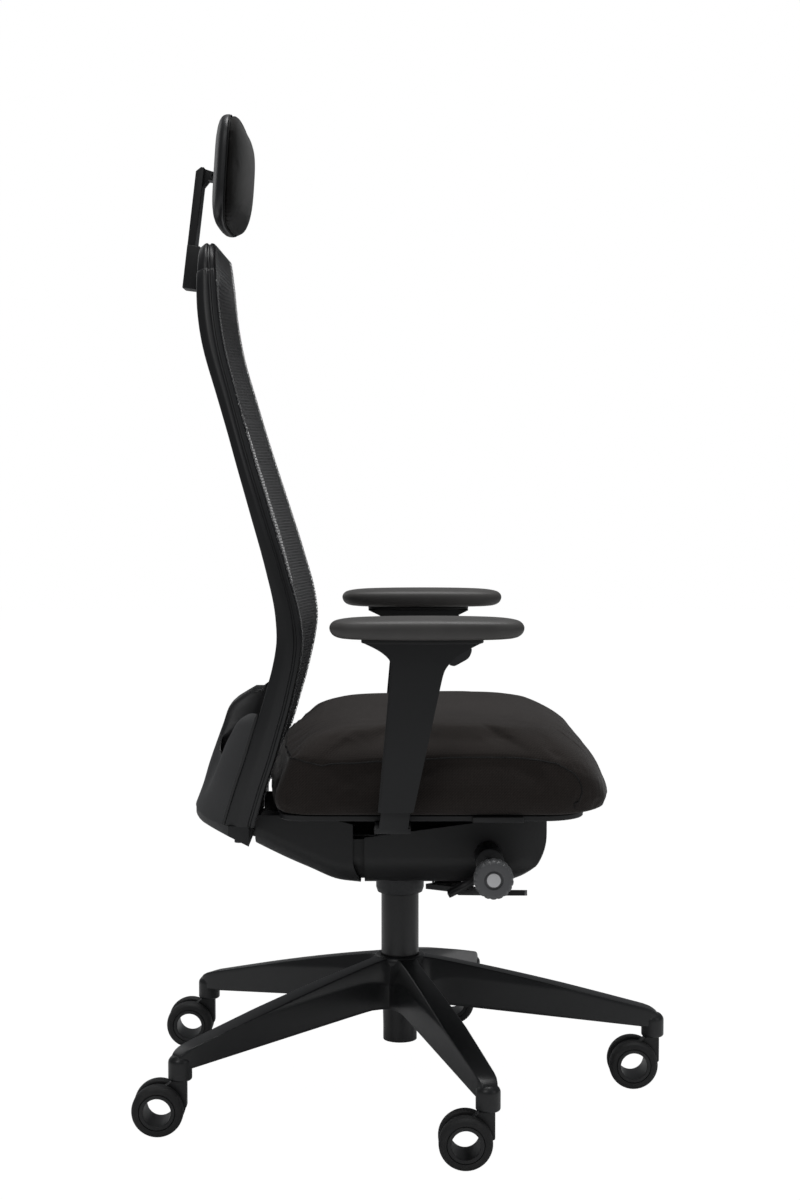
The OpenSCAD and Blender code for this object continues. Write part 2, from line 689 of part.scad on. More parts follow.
nose_z = 420;
side_tuck = 5;
nose_drop = 24;

// One ring of the cushion: its plan drawn in by a share towards the middle, and its height
function cushion_ring(share, crown_share, inset) = [
  for (p = seat_plan(seat_front - seat_bow - inset, seat_rear - seat_bow - inset, seat_half - inset,
    front_corner - inset / 2, rear_corner - inset / 2, seat_bow))
  let (middle = (seat_front - seat_rear) / 2, forward = max(0, p[0] - middle) / (seat_front - middle),
    edge_z = mix(seam_z, nose_z, pow(forward, 3)))
  [middle + (p[0] - middle) * share, p[1] * share,
    mix(edge_z, seat_crown - nose_drop * pow(forward * share, 3), crown_share)]];
function flat_ring(inset, z_share) = [for (p = cushion_ring(1, 0, inset))
  [p[0], p[1], mix(cushion_bottom, p[2], z_share)]];
dome_shares = [0.99, 0.96, 0.91, 0.84, 0.74, 0.6, 0.42, 0.2, 0.04];

module seat_cushion() color("#2b2826") loft(concat(
  [flat_ring(side_tuck * 1.6, 0), flat_ring(side_tuck * 0.7, 0.16), flat_ring(side_tuck * 0.2, 0.5),
    flat_ring(0, 0.85), cushion_ring(1, 0, 0)],
  [for (s = dome_shares) cushion_ring(s, sqrt(1 - s * s), 0)]));

// Side view of the back: heights as shares of the frame, and the front rim's lean behind the lumbar point
lumbar_x = 120;
back_lean = 112;
back_bottom = 388;
rim_shares = [[0, 0.54], [0.066, 0.41], [0.124, 0.286], [0.163, 0.214], [0.201, 0.143], [0.241, 0.08],
  [0.28, 0.027], [0.32, 0], [0.36, 0.027], [0.439, 0.161], [0.538, 0.357], [0.636, 0.554],
  [0.732, 0.732], [0.826, 0.893], [0.883, 0.95], [0.939, 0.98], [1, 1.01]];
// Depth of a side member along the same heights, as shares of its greatest depth
member_depth = 38;
depth_shares = [[0, 1], [0.2, 0.93], [0.28, 0.85], [0.32, 0.81], [0.42, 0.69], [0.54, 0.63], [0.64, 0.6],
  [0.94, 0.62], [1, 0.5]];
// Half of the back's width along the same heights, as shares of its greatest
width_shares = [[0, 0.84], [0.14, 0.95], [0.28, 1], [0.42, 1], [0.56, 0.945], [0.7, 0.84], [0.84, 0.735],
  [0.93, 0.66], [1, 0.62]];
back_h = back_top - back_bottom;
function up_share(z) = (z - back_bottom) / back_h;
function rim_x(z) = -lumbar_x - back_lean * lookup(up_share(z), rim_shares);
function depth_at(z) = member_depth * lookup(up_share(z), depth_shares);
function half_at(z) = back_half * lookup(up_share(z), width_shares);

// The bar between the feet of the side members
foot_bar_t = 12;
foot_bar_set = 4;
foot_bar_h = 34;
foot_bar_top = back_bottom + foot_bar_h;

// The frame's path: up one side, round the top and down the other, as heights and widths
top_corner = 45;
member_steps = 26;
side_heights = [for (k = [0:member_steps]) mix(back_bottom, back_top - top_corner, k / member_steps)];
function corner_path(side, angles) = [for (a = angles)
  [side * (half_at(back_top) - top_corner + (top_corner - member_t / 2) * cos(a)),
    back_top - top_corner + (top_corner - member_t / 2) * sin(a)]];
frame_path = concat([for (z = side_heights) [-half_at(z) + member_t / 2, z]],
  corner_path(-1, [22.5, 45, 67.5, 90]), corner_path(1, [90, 67.5, 45, 22.5]),
  [for (k = [member_steps:-1:0]) [half_at(side_heights[k]) - member_t / 2, side_heights[k]]]);

// Section of the frame at a point of its path: rounded front bead, bevelled outer rear corner
function frame_section(k) =
  let (p = frame_path[k], q = frame_path[min(k + 1, len(frame_path) - 1)], o = frame_path[max(k - 1, 0)],
    way = q - o, out = [-way[1], way[0]] / norm(way), d = depth_at(p[1]), w = member_t / 2)
  [for (s = [[0.5, 0], [1, 0.12], [1, 0.62], [0.45, 1], [-0.6, 1], [-1, 0.8], [-1, 0.12], [-0.5, 0]])
    let (z = p[1] + out[1] * w * s[0]) [rim_x(z) - s[1] * d, p[0] + out[0] * w * s[0], z]];

module back_frame() color("#1d1e20") difference() {
  union() {
    loft([for (k = [len(frame_path) - 1:-1:0]) frame_section(k)]);
    reach = half_at(back_bottom) - member_t / 2;
    across(-reach, reach) polygon([
      [rim_x(back_bottom) - foot_bar_set, back_bottom], [rim_x(foot_bar_top) - foot_bar_set, foot_bar_top],
      [rim_x(foot_bar_top) - foot_bar_set - foot_bar_t, foot_bar_top],
      [rim_x(back_bottom) - foot_bar_set - foot_bar_t, back_bottom]]);
  }
  block([-back_top, -back_top, 0], [0, back_top, back_bottom]);
  back_bolt_holes();
}

bolt_r = 4;
bolt_head_r = 7;
bolt_head_t = 4;
bolt_bite = 26;
bolt_seat = 370;
bolt_x = rim_x(back_bottom) - member_depth / 2;
bolt_y = half_at(back_bottom) - member_t / 2;

module back_bolt_holes() for (side = [-1, 1])
  translate([bolt_x, side * bolt_y, 0]) cylinder(r = bolt_r + run_gap, h = back_bottom + bolt_bite + near_gap);

// Bolts that hold the side members down on the yoke
module back_bolts() color("#8a8c8e") for (side = [-1, 1]) translate([bolt_x, side * bolt_y, 0]) {
  translate([0, 0, bolt_seat - bolt_head_t]) cylinder(r = bolt_r, h = back_bottom - bolt_seat + bolt_bite);
  translate([0, 0, bolt_seat - bolt_head_t]) cylinder(r = bolt_head_r, h = bolt_head_t);
}

mesh_columns = 14;
mesh_gap = 0.5;
mesh_edge = 4;
mesh_foot = foot_bar_top - back_bottom + mesh_edge;
// A point of the mesh: share runs over the opening from -1 to 1, and past it over a member
function corner_in(z) = z <= back_top - top_corner ? 0
  : top_corner - sqrt(max(0, pow(top_corner, 2) - pow(z - back_top + top_corner, 2)));
function mesh_point(share, z, lift) =
  let (over = abs(share) > 1 + cut / back_half, fade = min(1, (back_top - member_t - z) / member_t / 4),
    half = half_at(z) - corner_in(z),
    y = over ? sign(share) * (half - mesh_edge) : share * (half - member_t),
    hollow = over ? 0 : mesh_dish * (1 - share * share) * fade)
  [rim_x(z) - max(hollow, 0) + mesh_gap + lift, y, z];

// Stretched mesh: it lies on the front of the frame and dishes between the members
mesh_heights = concat([back_bottom + mesh_foot],
  [for (z = side_heights) if (z > back_bottom + mesh_foot + cut) z],
  [for (k = [1:3]) mix(back_top - top_corner, back_top - mesh_edge, k / 3)]);

module back_mesh() color("#1f2226") {
  us = [for (i = [-1:mesh_columns + 1]) i / mesh_columns * 2 - 1];
  loft([for (z = mesh_heights) concat([for (u = us) mesh_point(u, z, mesh_t)],
    [for (i = [len(us) - 1:-1:0]) mesh_point(us[i], z, 0)])], true);
}

// Rear shell between the members: its spine's side view, and its top edge from the middle outwards
spine_reach = 136;
shell_low = back_bottom;
shell_peak = 538;
shell_t = 4;
spine_shares = [[0, 1], [0.18, 0.936], [0.36, 0.886], [0.53, 0.83], [0.71, 0.767], [0.89, 0.691], [1, 0.553]];
crest_shares = [[0, 1], [0.09, 0.99], [0.16, 0.72], [0.22, 0.55], [0.32, 0.5], [0.42, 0.55], [0.55, 0.75],
  [0.7, 0.9], [1, 0.95]];
shell_columns = 28;
shell_rows = 10;
function spine_x(z) = -back_lean - spine_reach * 1.17
  * lookup((z - shell_low) / (shell_peak - shell_low), spine_shares);
hump_shares = [[0, 1], [0.13, 1], [0.21, 0], [1, 0]];
function shell_point(u, t, inner) =
  let (z = mix(shell_low, shell_low + (shell_peak - shell_low) * lookup(abs(u), crest_shares), t),
    half = half_at(z) - member_t / 2, side = rim_x(z) - depth_at(z) - near_gap - shell_t,
    outside = mix(side, spine_x(z), 1 - u * u), front = rim_x(z) - mesh_dish - shell_t,
    room = max(inner, (front - outside) * lookup(abs(u), hump_shares)))
  [outside + (inner > 0 ? room : 0), u * half, z];

module back_shell() color("#232427") {
  us = [for (i = [0:shell_columns]) i / shell_columns * 2 - 1];
  loft([for (k = [0:shell_rows]) let (t = k / shell_rows) concat(
    [for (u = us) shell_point(u, t, shell_t)],
    [for (i = [shell_columns:-1:0]) shell_point(us[i], t, 0)])], true);
}

beam_t = 24;
beam_front = 188;
tail_low = 347;
beam_low = 362;
arm_t = 9;
beam_arc = [for (k = [0:20]) k / 10 - 1];

// Yoke under the back: two arms from the pivot and the curved beam that joins the side members
module back_carrier() color("#151618") difference() {
  union() {
    for (side = [0, 1]) mirror([0, side, 0])
      across(ear_half, ear_half + arm_t) {
        translate([-recline_x, recline_z]) circle(r = pin_r * 2.2);
        polygon([[-recline_x, recline_z - pin_r * 2.2], [-recline_x, recline_z + pin_r * 2.2],
          [-beam_front - beam_t, tail_low + beam_t], [-beam_front - beam_t / 2, tail_low + shroud_wall * 2],
          [-mix(recline_x, beam_front, 0.8), mix(recline_z, tail_low, 0.8)],
          [-mix(recline_x, beam_front, 0.45), mix(recline_z, tail_low, 0.1) - pin_r]]);
      }
    intersection() {
      across(-back_half, back_half) polygon([
        [-beam_front, beam_low], [-beam_front, shell_low],
        [-beam_front - spine_reach, shell_low], [-beam_front - spine_reach, beam_low + beam_t * 0.6]]);
      linear_extrude(back_top) polygon(concat(
        [for (u = beam_arc) [spine_x(shell_low) + (1 - cos(u * 90)) * beam_t * 2.4, u * half_at(back_bottom)]],
        [for (k = [len(beam_arc) - 1:-1:0]) let (u = beam_arc[k])
          [-beam_front + cut, u * half_at(back_bottom)]]));
    }
  }
  bar_y(-recline_x, recline_z, -shroud_half, shroud_half, pin_r + run_gap);
  block([-back_top, -back_half, shell_low - near_gap], [0, back_half, back_top]);
  back_bolt_holes();
  for (side = [-1, 1]) translate([bolt_x, side * bolt_y, 0])
    cylinder(r = bolt_head_r + near_gap, h = bolt_seat);
}

seam_gap = 5;
rear_half = 97;
keel_shares = [[0, 0], [0.24, 0.09], [0.48, 0.36], [0.69, 0.6], [0.88, 0.84], [1, 1]];
function keel_z(share) = mix(shroud_bottom, tail_low - near_gap * 2, lookup(share, keel_shares));
function keel_x(share) = -mix(shroud_seam + seam_gap, beam_front - near_gap, share);

// The keel of the rear shroud as a side view, from its bottom line up to a level top
module keel_side(inset, top, start) {
  polygon(concat([for (k = keel_shares) if (k[0] >= start) [keel_x(k[0]), keel_z(k[0]) + inset]],
    [[keel_x(1), top], [keel_x(start), top]]));
}

// Rear shroud: a tray that goes down with the back, its side walls set back from the seam
module rear_shroud() color("#121315") difference() {
  across(-rear_half, rear_half) intersection() {
    keel_side(0, shroud_tail_top, 0);
    polygon([[keel_x(1), 0], [keel_x(0), 0], [keel_x(0), shroud_bottom + shroud_wall],
      [keel_x(0) - seam_gap * 2, shroud_bottom + bilge],
      [keel_x(0) - seam_gap * 2, mix(shroud_rear_top, shroud_tail_top, 0.55)],
      [keel_x(0.25), mix(shroud_rear_top, shroud_tail_top, 0.8)],
      [keel_x(0.5), shroud_tail_top], [keel_x(1), shroud_tail_top]]);
  }
  across(-rear_half + shroud_wall, rear_half - shroud_wall)
    polygon(concat([[keel_x(0) + cut, keel_z(0) + shroud_wall]],
      [for (k = keel_shares) [keel_x(k[0]), keel_z(k[0]) + shroud_wall]],
      [[keel_x(1) - cut, keel_z(1) + shroud_wall], [keel_x(1) - cut, back_top], [keel_x(0) + cut, back_top]]));
}

stalk_x = -279;
stalk_drop = 50;
stalk_z = back_top - stalk_drop;
stalk_l = 158;
stalk_arm_t = 18;
stalk_arm_half = 15;
stalk_reach = 18;
barrel_r = 5.5;
head_pin_r = 2.5;
holder_grip = 16;
holder_l = head_travel + holder_grip;
holder_wall = 3;
holder_web = 7;
gusset = 6;

// A place in the stalk's own leaning frame
module on_stalk() {
  translate([stalk_x, 0, stalk_z]) rotate([0, stalk_lean, 0]) children();
}
function stalk_place(x, z) = [stalk_x + x * cos(stalk_lean) + z * sin(stalk_lean),
  stalk_z - x * sin(stalk_lean) + z * cos(stalk_lean)];
head_axis = stalk_place(stalk_reach, stalk_l - stalk_arm_t / 2);

// Channel on the back of the frame's top in which the stalk slides
module stalk_holder() color("#131416") {
  on_stalk() {
    block([stalk_t / 2 + run_gap, -stalk_half - holder_wall, 0],
      [stalk_t / 2 + holder_web, stalk_half + holder_wall, holder_l]);
    for (side = [0, 1]) mirror([0, side, 0])
      block([-stalk_t / 2, stalk_half + run_gap * 2, 0],
        [stalk_t / 2 + holder_web, stalk_half + holder_wall, holder_l]);
  }
  foot_z = back_top - member_t / 2;
  foot_x = rim_x(foot_z) - depth_at(foot_z) - near_gap;
  block([foot_x - member_t * 0.4, -stalk_arm_half, foot_z - member_t / 4],
    [foot_x, stalk_arm_half, foot_z + member_t / 4]);
}

// Flat stalk with a forward arm that ends in the headrest's pivot
module head_stalk() color("#17181a") on_stalk() difference() {
  union() {
    across(-stalk_half, stalk_half) polygon([
      [-stalk_t / 2, 0], [stalk_t / 2, 0], [stalk_t / 2, stalk_l], [gusset - stalk_t / 2, stalk_l],
      [-stalk_t / 2, stalk_l - gusset]]);
    across(-stalk_arm_half, stalk_arm_half) {
      polygon([[0, stalk_l - stalk_arm_t - gusset], [stalk_t / 2, stalk_l - stalk_arm_t - gusset],
        [stalk_t / 2 + gusset, stalk_l - stalk_arm_t / 2 - barrel_r],
        [stalk_reach, stalk_l - stalk_arm_t / 2 - barrel_r],
        [stalk_reach, stalk_l - stalk_arm_t / 2 + barrel_r], [0, stalk_l]]);
      translate([stalk_reach, stalk_l - stalk_arm_t / 2]) circle(r = barrel_r);
    }
  }
  bar_y(stalk_reach, stalk_l - stalk_arm_t / 2, -stalk_half - cut, stalk_half + cut, head_pin_r + run_gap);
}

head_ear_t = 5;

module head_pivot() color("#8a8c8e")
  bar_y(head_axis[0], head_axis[1], -stalk_arm_half - head_ear_t, stalk_arm_half + head_ear_t, head_pin_r);

head_mid_z = head_axis[1];
head_tall = head_h / 2;
head_face_x = -221;
head_face_lean = 4;
head_wing = 4;
shell_depth = 15;
pad_depth = 26;
head_points = 40;
head_square = 4.2;
function power(v, p) = sign(v) * pow(abs(v), p);

// One ring of the headrest at a share of its outline, its depth measured from the leaning parting face
function head_ring(share, depth) = [for (k = [0:head_points - 1])
  let (a = k * 360 / head_points, y = head_half * share * power(cos(a), 2 / head_square),
    rise = head_tall * share * power(sin(a), 2 / head_square))
  [head_face_x + rise * tan(head_face_lean) + head_wing * pow(y / head_half, 2) + depth, y, head_mid_z + rise]];
function head_dome(share, fullness) = pow(1 - pow(share, fullness), 1 / fullness);
inner_shares = [0.04, 0.4, 0.75];
rim_steps = [0.9, 0.96, 0.99];

// Moulded shell behind the pad, with two ears on the stalk's pin
module head_shell() color("#3a3c3f") difference() {
  union() {
    loft(concat(
      [for (s = inner_shares) head_ring(s, -shell_depth * head_dome(s, 4))],
      [for (s = rim_steps) head_ring(s, -shell_depth * head_dome(s, 4))],
      [head_ring(1, -shell_depth * 0.2), head_ring(0.985, 0)],
      [for (k = [2:-1:0]) head_ring(inner_shares[k], 0)]));
    for (side = [0, 1]) mirror([0, side, 0])
      across(stalk_arm_half + near_gap, stalk_arm_half + head_ear_t) {
        translate(head_axis) circle(r = barrel_r);
        translate(head_axis) polygon([[0, -barrel_r], [barrel_r * 2.4, -barrel_r * 1.6],
          [barrel_r * 2.4, barrel_r * 1.6], [0, barrel_r]]);
      }
  }
  bar_y(head_axis[0], head_axis[1], -stalk_half, stalk_half, head_pin_r + run_gap);
}

module head_pad() color("#26241f") loft(concat(
  [for (s = inner_shares) head_ring(s, near_gap)],
  [head_ring(0.95, near_gap), head_ring(0.985, pad_depth * 0.15)],
  [for (k = [2:-1:0]) head_ring(rim_steps[k] * 0.985, pad_depth * (0.15 + 0.85 * head_dome(rim_steps[k], 2)))],
  [for (s = [0.75, 0.5, 0.25, 0.04]) head_ring(s, pad_depth * (0.15 + 0.85 * head_dome(s, 2)))]));

upright_bottom = 418;
upright_y = seat_half + arm_gap;
pad_y = upright_y + pad_out;
plate_z = 624;
plate_t = 5;
head_l = 146;
upright_x = 26.7;
// Outline of an upright from its foot round its flared head, as shares of half its head and of its height
upright_shares = [[-0.73, 0], [-0.51, 0.88], [-0.58, 0.915], [-0.73, 0.955], [-1, 1], [1, 1], [0.8, 0.965],
  [0.57, 0.92], [0.46, 0.88], [0.38, 0.843], [0.34, 0.806], [0.25, 0.66], [-0.145, 0]];
tab_w = 30;
tab_t = 8;
tab_x = -5;
tab_hold = 58;
tab_l = arm_travel + tab_hold;
tab_gap = 0.25;
upright_mid = upright_y + upright_t / 2;
button_reach = 16;
button_t = 9;
button_half = 8;
button_press = 3;

// A leaning strip of forward and height, as wide as w about x at its foot
module strip(x, w, low_z, rise) {
  polygon([[x - w / 2, low_z], [x + w / 2, low_z],
    [x + w / 2 + rise * tan(arm_lean), low_z + rise], [x - w / 2 + rise * tan(arm_lean), low_z + rise]]);
}

// Everything of an armrest is drawn on the right; side 1 mirrors it to the left
module arm_side(side) mirror([0, side, 0]) mirror([0, 1, 0]) children();

// Steel bracket: a foot on the seat frame and a leaning tab that the upright slides on
module arm_bracket(side) color("#1a1b1d") arm_side(side) difference() {
  union() {
    low = frame_z + frame_t + run_gap;
    block([bracket_x - bracket_w / 2, bracket_root, low],
      [bracket_x + bracket_w / 2, upright_mid + tab_t / 2, low + bracket_t]);
    across(upright_mid - tab_t / 2, upright_mid + tab_t / 2) {
      strip(bracket_x, bracket_w * 0.8, low, upright_bottom - low - near_gap * 2);
      strip(tab_x, tab_w, upright_bottom - cut, tab_l);
    }
  }
  for (x = [-bracket_w, bracket_w] / 4)
    translate([bracket_x + x, frame_half - head_r * 1.5, frame_z])
      cylinder(r = screw_r + run_gap, h = frame_t * 3);
}

// Upright sleeve with its flared head, hollow for the tab and slotted for the button
module arm_upright(side) color("#16171a") arm_side(side) difference() {
  across(upright_y, upright_y + upright_t) polygon([for (s = upright_shares)
    [upright_x + s[0] * head_l / 2, mix(upright_bottom, plate_z, s[1])]]);
  across(upright_mid - tab_t / 2 - tab_gap, upright_mid + tab_t / 2 + tab_gap)
    strip(tab_x - cut * tan(arm_lean), tab_w + tab_gap * 2, upright_bottom - cut, tab_l + cut * 3);
  across(upright_mid - button_half - near_gap, upright_mid + button_half + near_gap)
    button_outline(near_gap, button_press);
}

// Side view of the height button under the front of the head, with the room that its press takes
module button_outline(grow, press) {
  x = upright_x + head_l * 0.22;
  z = mix(upright_bottom, plate_z, 0.865);
  polygon([[x - grow, z - grow], [x + button_reach * 0.4, z - button_t * 0.2 - grow],
    [x + button_reach * 1.5, z + button_t * 0.9 - grow], [x + button_reach * 1.7 + grow, z + button_t * 1.8],
    [x + button_reach * 1.7 + grow, z + button_t * 2.2 + grow + press],
    [x - grow, z + button_t * 2.2 + grow + press]]);
}

module arm_button(side) color("#2c2e31") arm_side(side)
  across(upright_mid - button_half, upright_mid + button_half) button_outline(0, 0);

// Plate under a pad, on which the pad slides fore and aft
module pad_plate(side) color("#141517") arm_side(side) translate([upright_x, pad_y, plate_z + run_gap])
  linear_extrude(plate_t) polygon([for (a = [0:15:345])
    [head_l / 2 * power(cos(a), 0.5), pad_w * 0.32 * power(sin(a), 0.5)]]);

pad_base = 7;
function pad_ring(share, rise) = [for (a = [0:10:350])
  [pad_x + pad_l / 2 * share * power(cos(a), 0.72), pad_y + pad_w / 2 * share * power(sin(a), 0.6),
    pad_edge_z + rise]];
pad_low = plate_z + plate_t + near_gap - pad_edge_z;

// Soft pad: flat below, widest at its edge and gently crowned
module arm_pad(side) color("#1c1d1f") arm_side(side) loft(concat(
  [pad_ring(0.8, pad_low), pad_ring(0.93, pad_low + pad_base * 0.3),
    pad_ring(0.985, -pad_base * 0.4), pad_ring(1, 0)],
  [for (s = [0.985, 0.95, 0.88, 0.76, 0.58, 0.34, 0.06]) pad_ring(s, pad_crown * pow(1 - pow(s, 2.4), 0.6))]));

star_base();
castor_stems();
castor_frame(1);  // castor_frame_1
castor_frame(2);  // castor_frame_2
castor_frame(3);  // castor_frame_3
castor_frame(4);  // castor_frame_4
castor_frame(5);  // castor_frame_5
castor_wheels(1);  // castor_wheels_1
castor_wheels(2);  // castor_wheels_2
castor_wheels(3);  // castor_wheels_3
castor_wheels(4);  // castor_wheels_4
castor_wheels(5);  // castor_wheels_5
column_tube();
column_bush();
thrust_bearing();
rod_clip();
piston_rod();
gas_cylinder();
release_pin();
mechanism_housing();
tension_springs();
back_pivot_pins();
tilt_pin();
front_shroud();
tension_shaft();
tension_knob();
knob_cap();
lock_paddle();
height_lever();
lever_pin();
seat_frame();
seat_pan();
seat_cushion();
depth_latch();
seat_screws();
back_carrier();
rear_shroud();
back_shell();
back_frame();
back_mesh();
back_bolts();
stalk_holder();
head_stalk();
head_pivot();
head_shell();
head_pad();
arm_bracket(0);  // arm_bracket_right
arm_upright(0);  // arm_upright_right
arm_button(0);  // arm_button_right
pad_plate(0);  // pad_plate_right
arm_pad(0);  // arm_pad_right
arm_bracket(1);  // arm_bracket_left
arm_upright(1);  // arm_upright_left
arm_button(1);  // arm_button_left
pad_plate(1);  // pad_plate_left
arm_pad(1);  // arm_pad_left
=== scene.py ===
"""Looks of the high back office chair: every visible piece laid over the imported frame, in metres."""

import math

import bmesh
import bpy
import numpy as np
from mathutils.bvhtree import BVHTree
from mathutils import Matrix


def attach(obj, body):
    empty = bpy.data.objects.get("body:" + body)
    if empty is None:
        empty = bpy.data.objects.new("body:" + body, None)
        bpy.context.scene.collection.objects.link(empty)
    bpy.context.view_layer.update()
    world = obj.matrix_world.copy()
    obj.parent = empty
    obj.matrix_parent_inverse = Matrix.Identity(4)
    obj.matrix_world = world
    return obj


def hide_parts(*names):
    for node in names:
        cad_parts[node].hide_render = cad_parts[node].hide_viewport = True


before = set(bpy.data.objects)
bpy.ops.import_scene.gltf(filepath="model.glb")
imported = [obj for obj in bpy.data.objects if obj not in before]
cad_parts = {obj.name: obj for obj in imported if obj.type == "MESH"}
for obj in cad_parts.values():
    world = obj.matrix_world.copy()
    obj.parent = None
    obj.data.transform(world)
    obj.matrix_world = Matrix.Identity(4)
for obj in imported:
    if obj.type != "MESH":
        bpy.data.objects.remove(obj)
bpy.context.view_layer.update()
MM = 0.001
MAP = "run"


# Finishes

class Flow:
    """A shader socket that takes part in Python sums: each operator adds one Math node."""

    def __init__(self, finish, socket):
        self.finish, self.socket = finish, socket

    def _math(self, operation, *values):
        return self.finish.add("ShaderNodeMath", {"operation": operation}, dict(enumerate(values)))

    def sine(self):
        return self._math("SINE", self)

    def most(self, other):
        return self._math("MAXIMUM", self, other)

    def ramp(self, low, high):
        """0 below low, 1 above high and smooth between them."""
        return self.finish.add("ShaderNodeMapRange", {"interpolation_type": "SMOOTHSTEP"},
                               {"Value": self, "From Min": low, "From Max": high})


for sign, kind in (("add", "ADD"), ("sub", "SUBTRACT"), ("mul", "MULTIPLY"), ("truediv", "DIVIDE")):
    setattr(Flow, f"__{sign}__", lambda self, other, kind=kind: self._math(kind, self, other))
    setattr(Flow, f"__r{sign}__", lambda self, other, kind=kind: self._math(kind, other, self))


class Finish:
    """One material, built from calls that each add a node and hand back its output."""

    def __init__(self, name):
        self.material = bpy.data.materials.new(name)
        self.material.use_nodes = True
        self.tree = self.material.node_tree
        self.shader = self.tree.nodes["Principled BSDF"]
        self.place = self.add("ShaderNodeTexCoord", {}, {}, "Object")

    def add(self, kind, settings, inputs, output=0):
        node = self.tree.nodes.new(kind)
        for key, value in settings.items():
            setattr(node, key, value)
        for key, value in inputs.items():
            self.join(value, node.inputs[key])
        return Flow(self, node.outputs[output])

    def join(self, value, socket):
        if isinstance(value, Flow):
            self.tree.links.new(value.socket, socket)
        elif isinstance(value, tuple) and len(value) == 3 and socket.type == "RGBA":
            socket.default_value = (*value, 1)
        else:
            socket.default_value = value

    def noise(self, scale, detail=3.0, rough=0.55, where=None):
        return self.add("ShaderNodeTexNoise", {}, {"Vector": where or self.place, "Scale": scale,
                                                   "Detail": detail, "Roughness": rough})

    def blend(self, share, low, high):
        """Mixes two colours by a share; a Mix node keeps its colours at inputs 6 and 7 and output 2."""
        return self.add("ShaderNodeMix", {"data_type": "RGBA"}, {0: share, 6: low, 7: high}, 2)

    def parts(self, where):
        node = self.tree.nodes.new("ShaderNodeSeparateXYZ")
        self.join(where, node.inputs[0])
        return [Flow(self, out) for out in node.outputs]

    def cloth_map(self):
        """The two parameters of the surface, as its own UV map keeps them."""
        return self.parts(self.add("ShaderNodeUVMap", {"uv_map": MAP}, {}))[:2]

    def bump(self, height, strength, distance):
        return self.add("ShaderNodeBump", {}, {"Height": height, "Strength": strength, "Distance": distance})

    def worn_edges(self, width):
        """Lighter along sharp edges: how far the bevelled normal turns from the plain one."""
        bevel = self.add("ShaderNodeBevel", {"samples": 4}, {"Radius": width})
        plain = self.add("ShaderNodeNewGeometry", {}, {}, "Normal")
        turn = self.add("ShaderNodeVectorMath", {"operation": "DOT_PRODUCT"}, {0: bevel, 1: plain}, "Value")
        return (1.0 - turn).ramp(0.02, 0.3)

    def made(self, **values):
        """Sets the shader's inputs, named with underscores for blanks, and hands back the material."""
        for key, value in values.items():
            self.join(value, self.shader.inputs[key.replace("_", " ")])
        return self.material


def moulded(name, colour, rough, grain=900.0, depth=0.00006):
    """Moulded plastic: fine cell grain, slow changes of gloss and colour, lighter edges."""
    f = Finish(name)
    edge, spread = 0.35, 0.12
    slow, fine = f.noise(9.0, 2.0), f.noise(140.0, 3.0)
    cells = f.add("ShaderNodeTexVoronoi", {}, {"Vector": f.place, "Scale": grain})
    light = tuple(min(1.0, c * 1.5 + 0.004) for c in colour)
    dark = tuple(c * 0.8 for c in colour)
    tone = f.blend(slow.ramp(0.3, 0.7), dark, colour)
    edges = f.worn_edges(0.0012) * (0.4 + fine * 0.8)
    return f.made(Base_Color=f.blend(edges * edge, tone, light),
                  Roughness=(rough - spread / 2) + slow * spread * 0.6 + fine * spread * 0.4,
                  Normal=f.bump(cells + fine * 0.6, 0.35, depth))


def rubber(name, colour):
    """Wheel tread: matt, a little dusty, with fine moulding rings."""
    f = Finish(name)
    dust, fine = f.noise(60.0, 4.0), f.noise(700.0, 2.0)
    return f.made(Base_Color=f.blend(dust.ramp(0.45, 0.75) * 0.35, colour, (0.05, 0.049, 0.047)),
                  Roughness=0.55 + dust * 0.25, Normal=f.bump(fine, 0.3, 0.00008))


def metal(name, colour, rough):
    """Plain or plated steel with fine marks along one way."""
    f = Finish(name)
    x, y, z = f.parts(f.place)
    marks = f.add("ShaderNodeCombineXYZ", {}, {0: x * 1800.0, 1: y * 1800.0, 2: z * 60.0})
    lines, slow = f.noise(1.0, 2.0, 0.6, marks), f.noise(25.0)
    return f.made(Base_Color=f.blend(slow.ramp(0.35, 0.7) * 0.3, colour, tuple(c * 0.8 for c in colour)),
                  Metallic=1.0, Roughness=rough + lines * 0.12 + slow * 0.06,
                  Normal=f.bump(lines, 0.12, 0.00002))


def painted(name, colour, rough, peel=1.0):
    """Powder coat over steel: orange-peel bumps and lighter edges."""
    f = Finish(name)
    peel_height, slow = f.noise(420.0, 2.0, 0.5), f.noise(12.0)
    edges = f.worn_edges(0.001)
    return f.made(Base_Color=f.blend(edges * 0.4, colour, tuple(c * 1.8 + 0.004 for c in colour)),
                  Roughness=rough + slow * 0.1, Normal=f.bump(peel_height, 0.25 * peel, 0.00012),
                  Coat_Weight=0.08, Coat_Roughness=0.25)


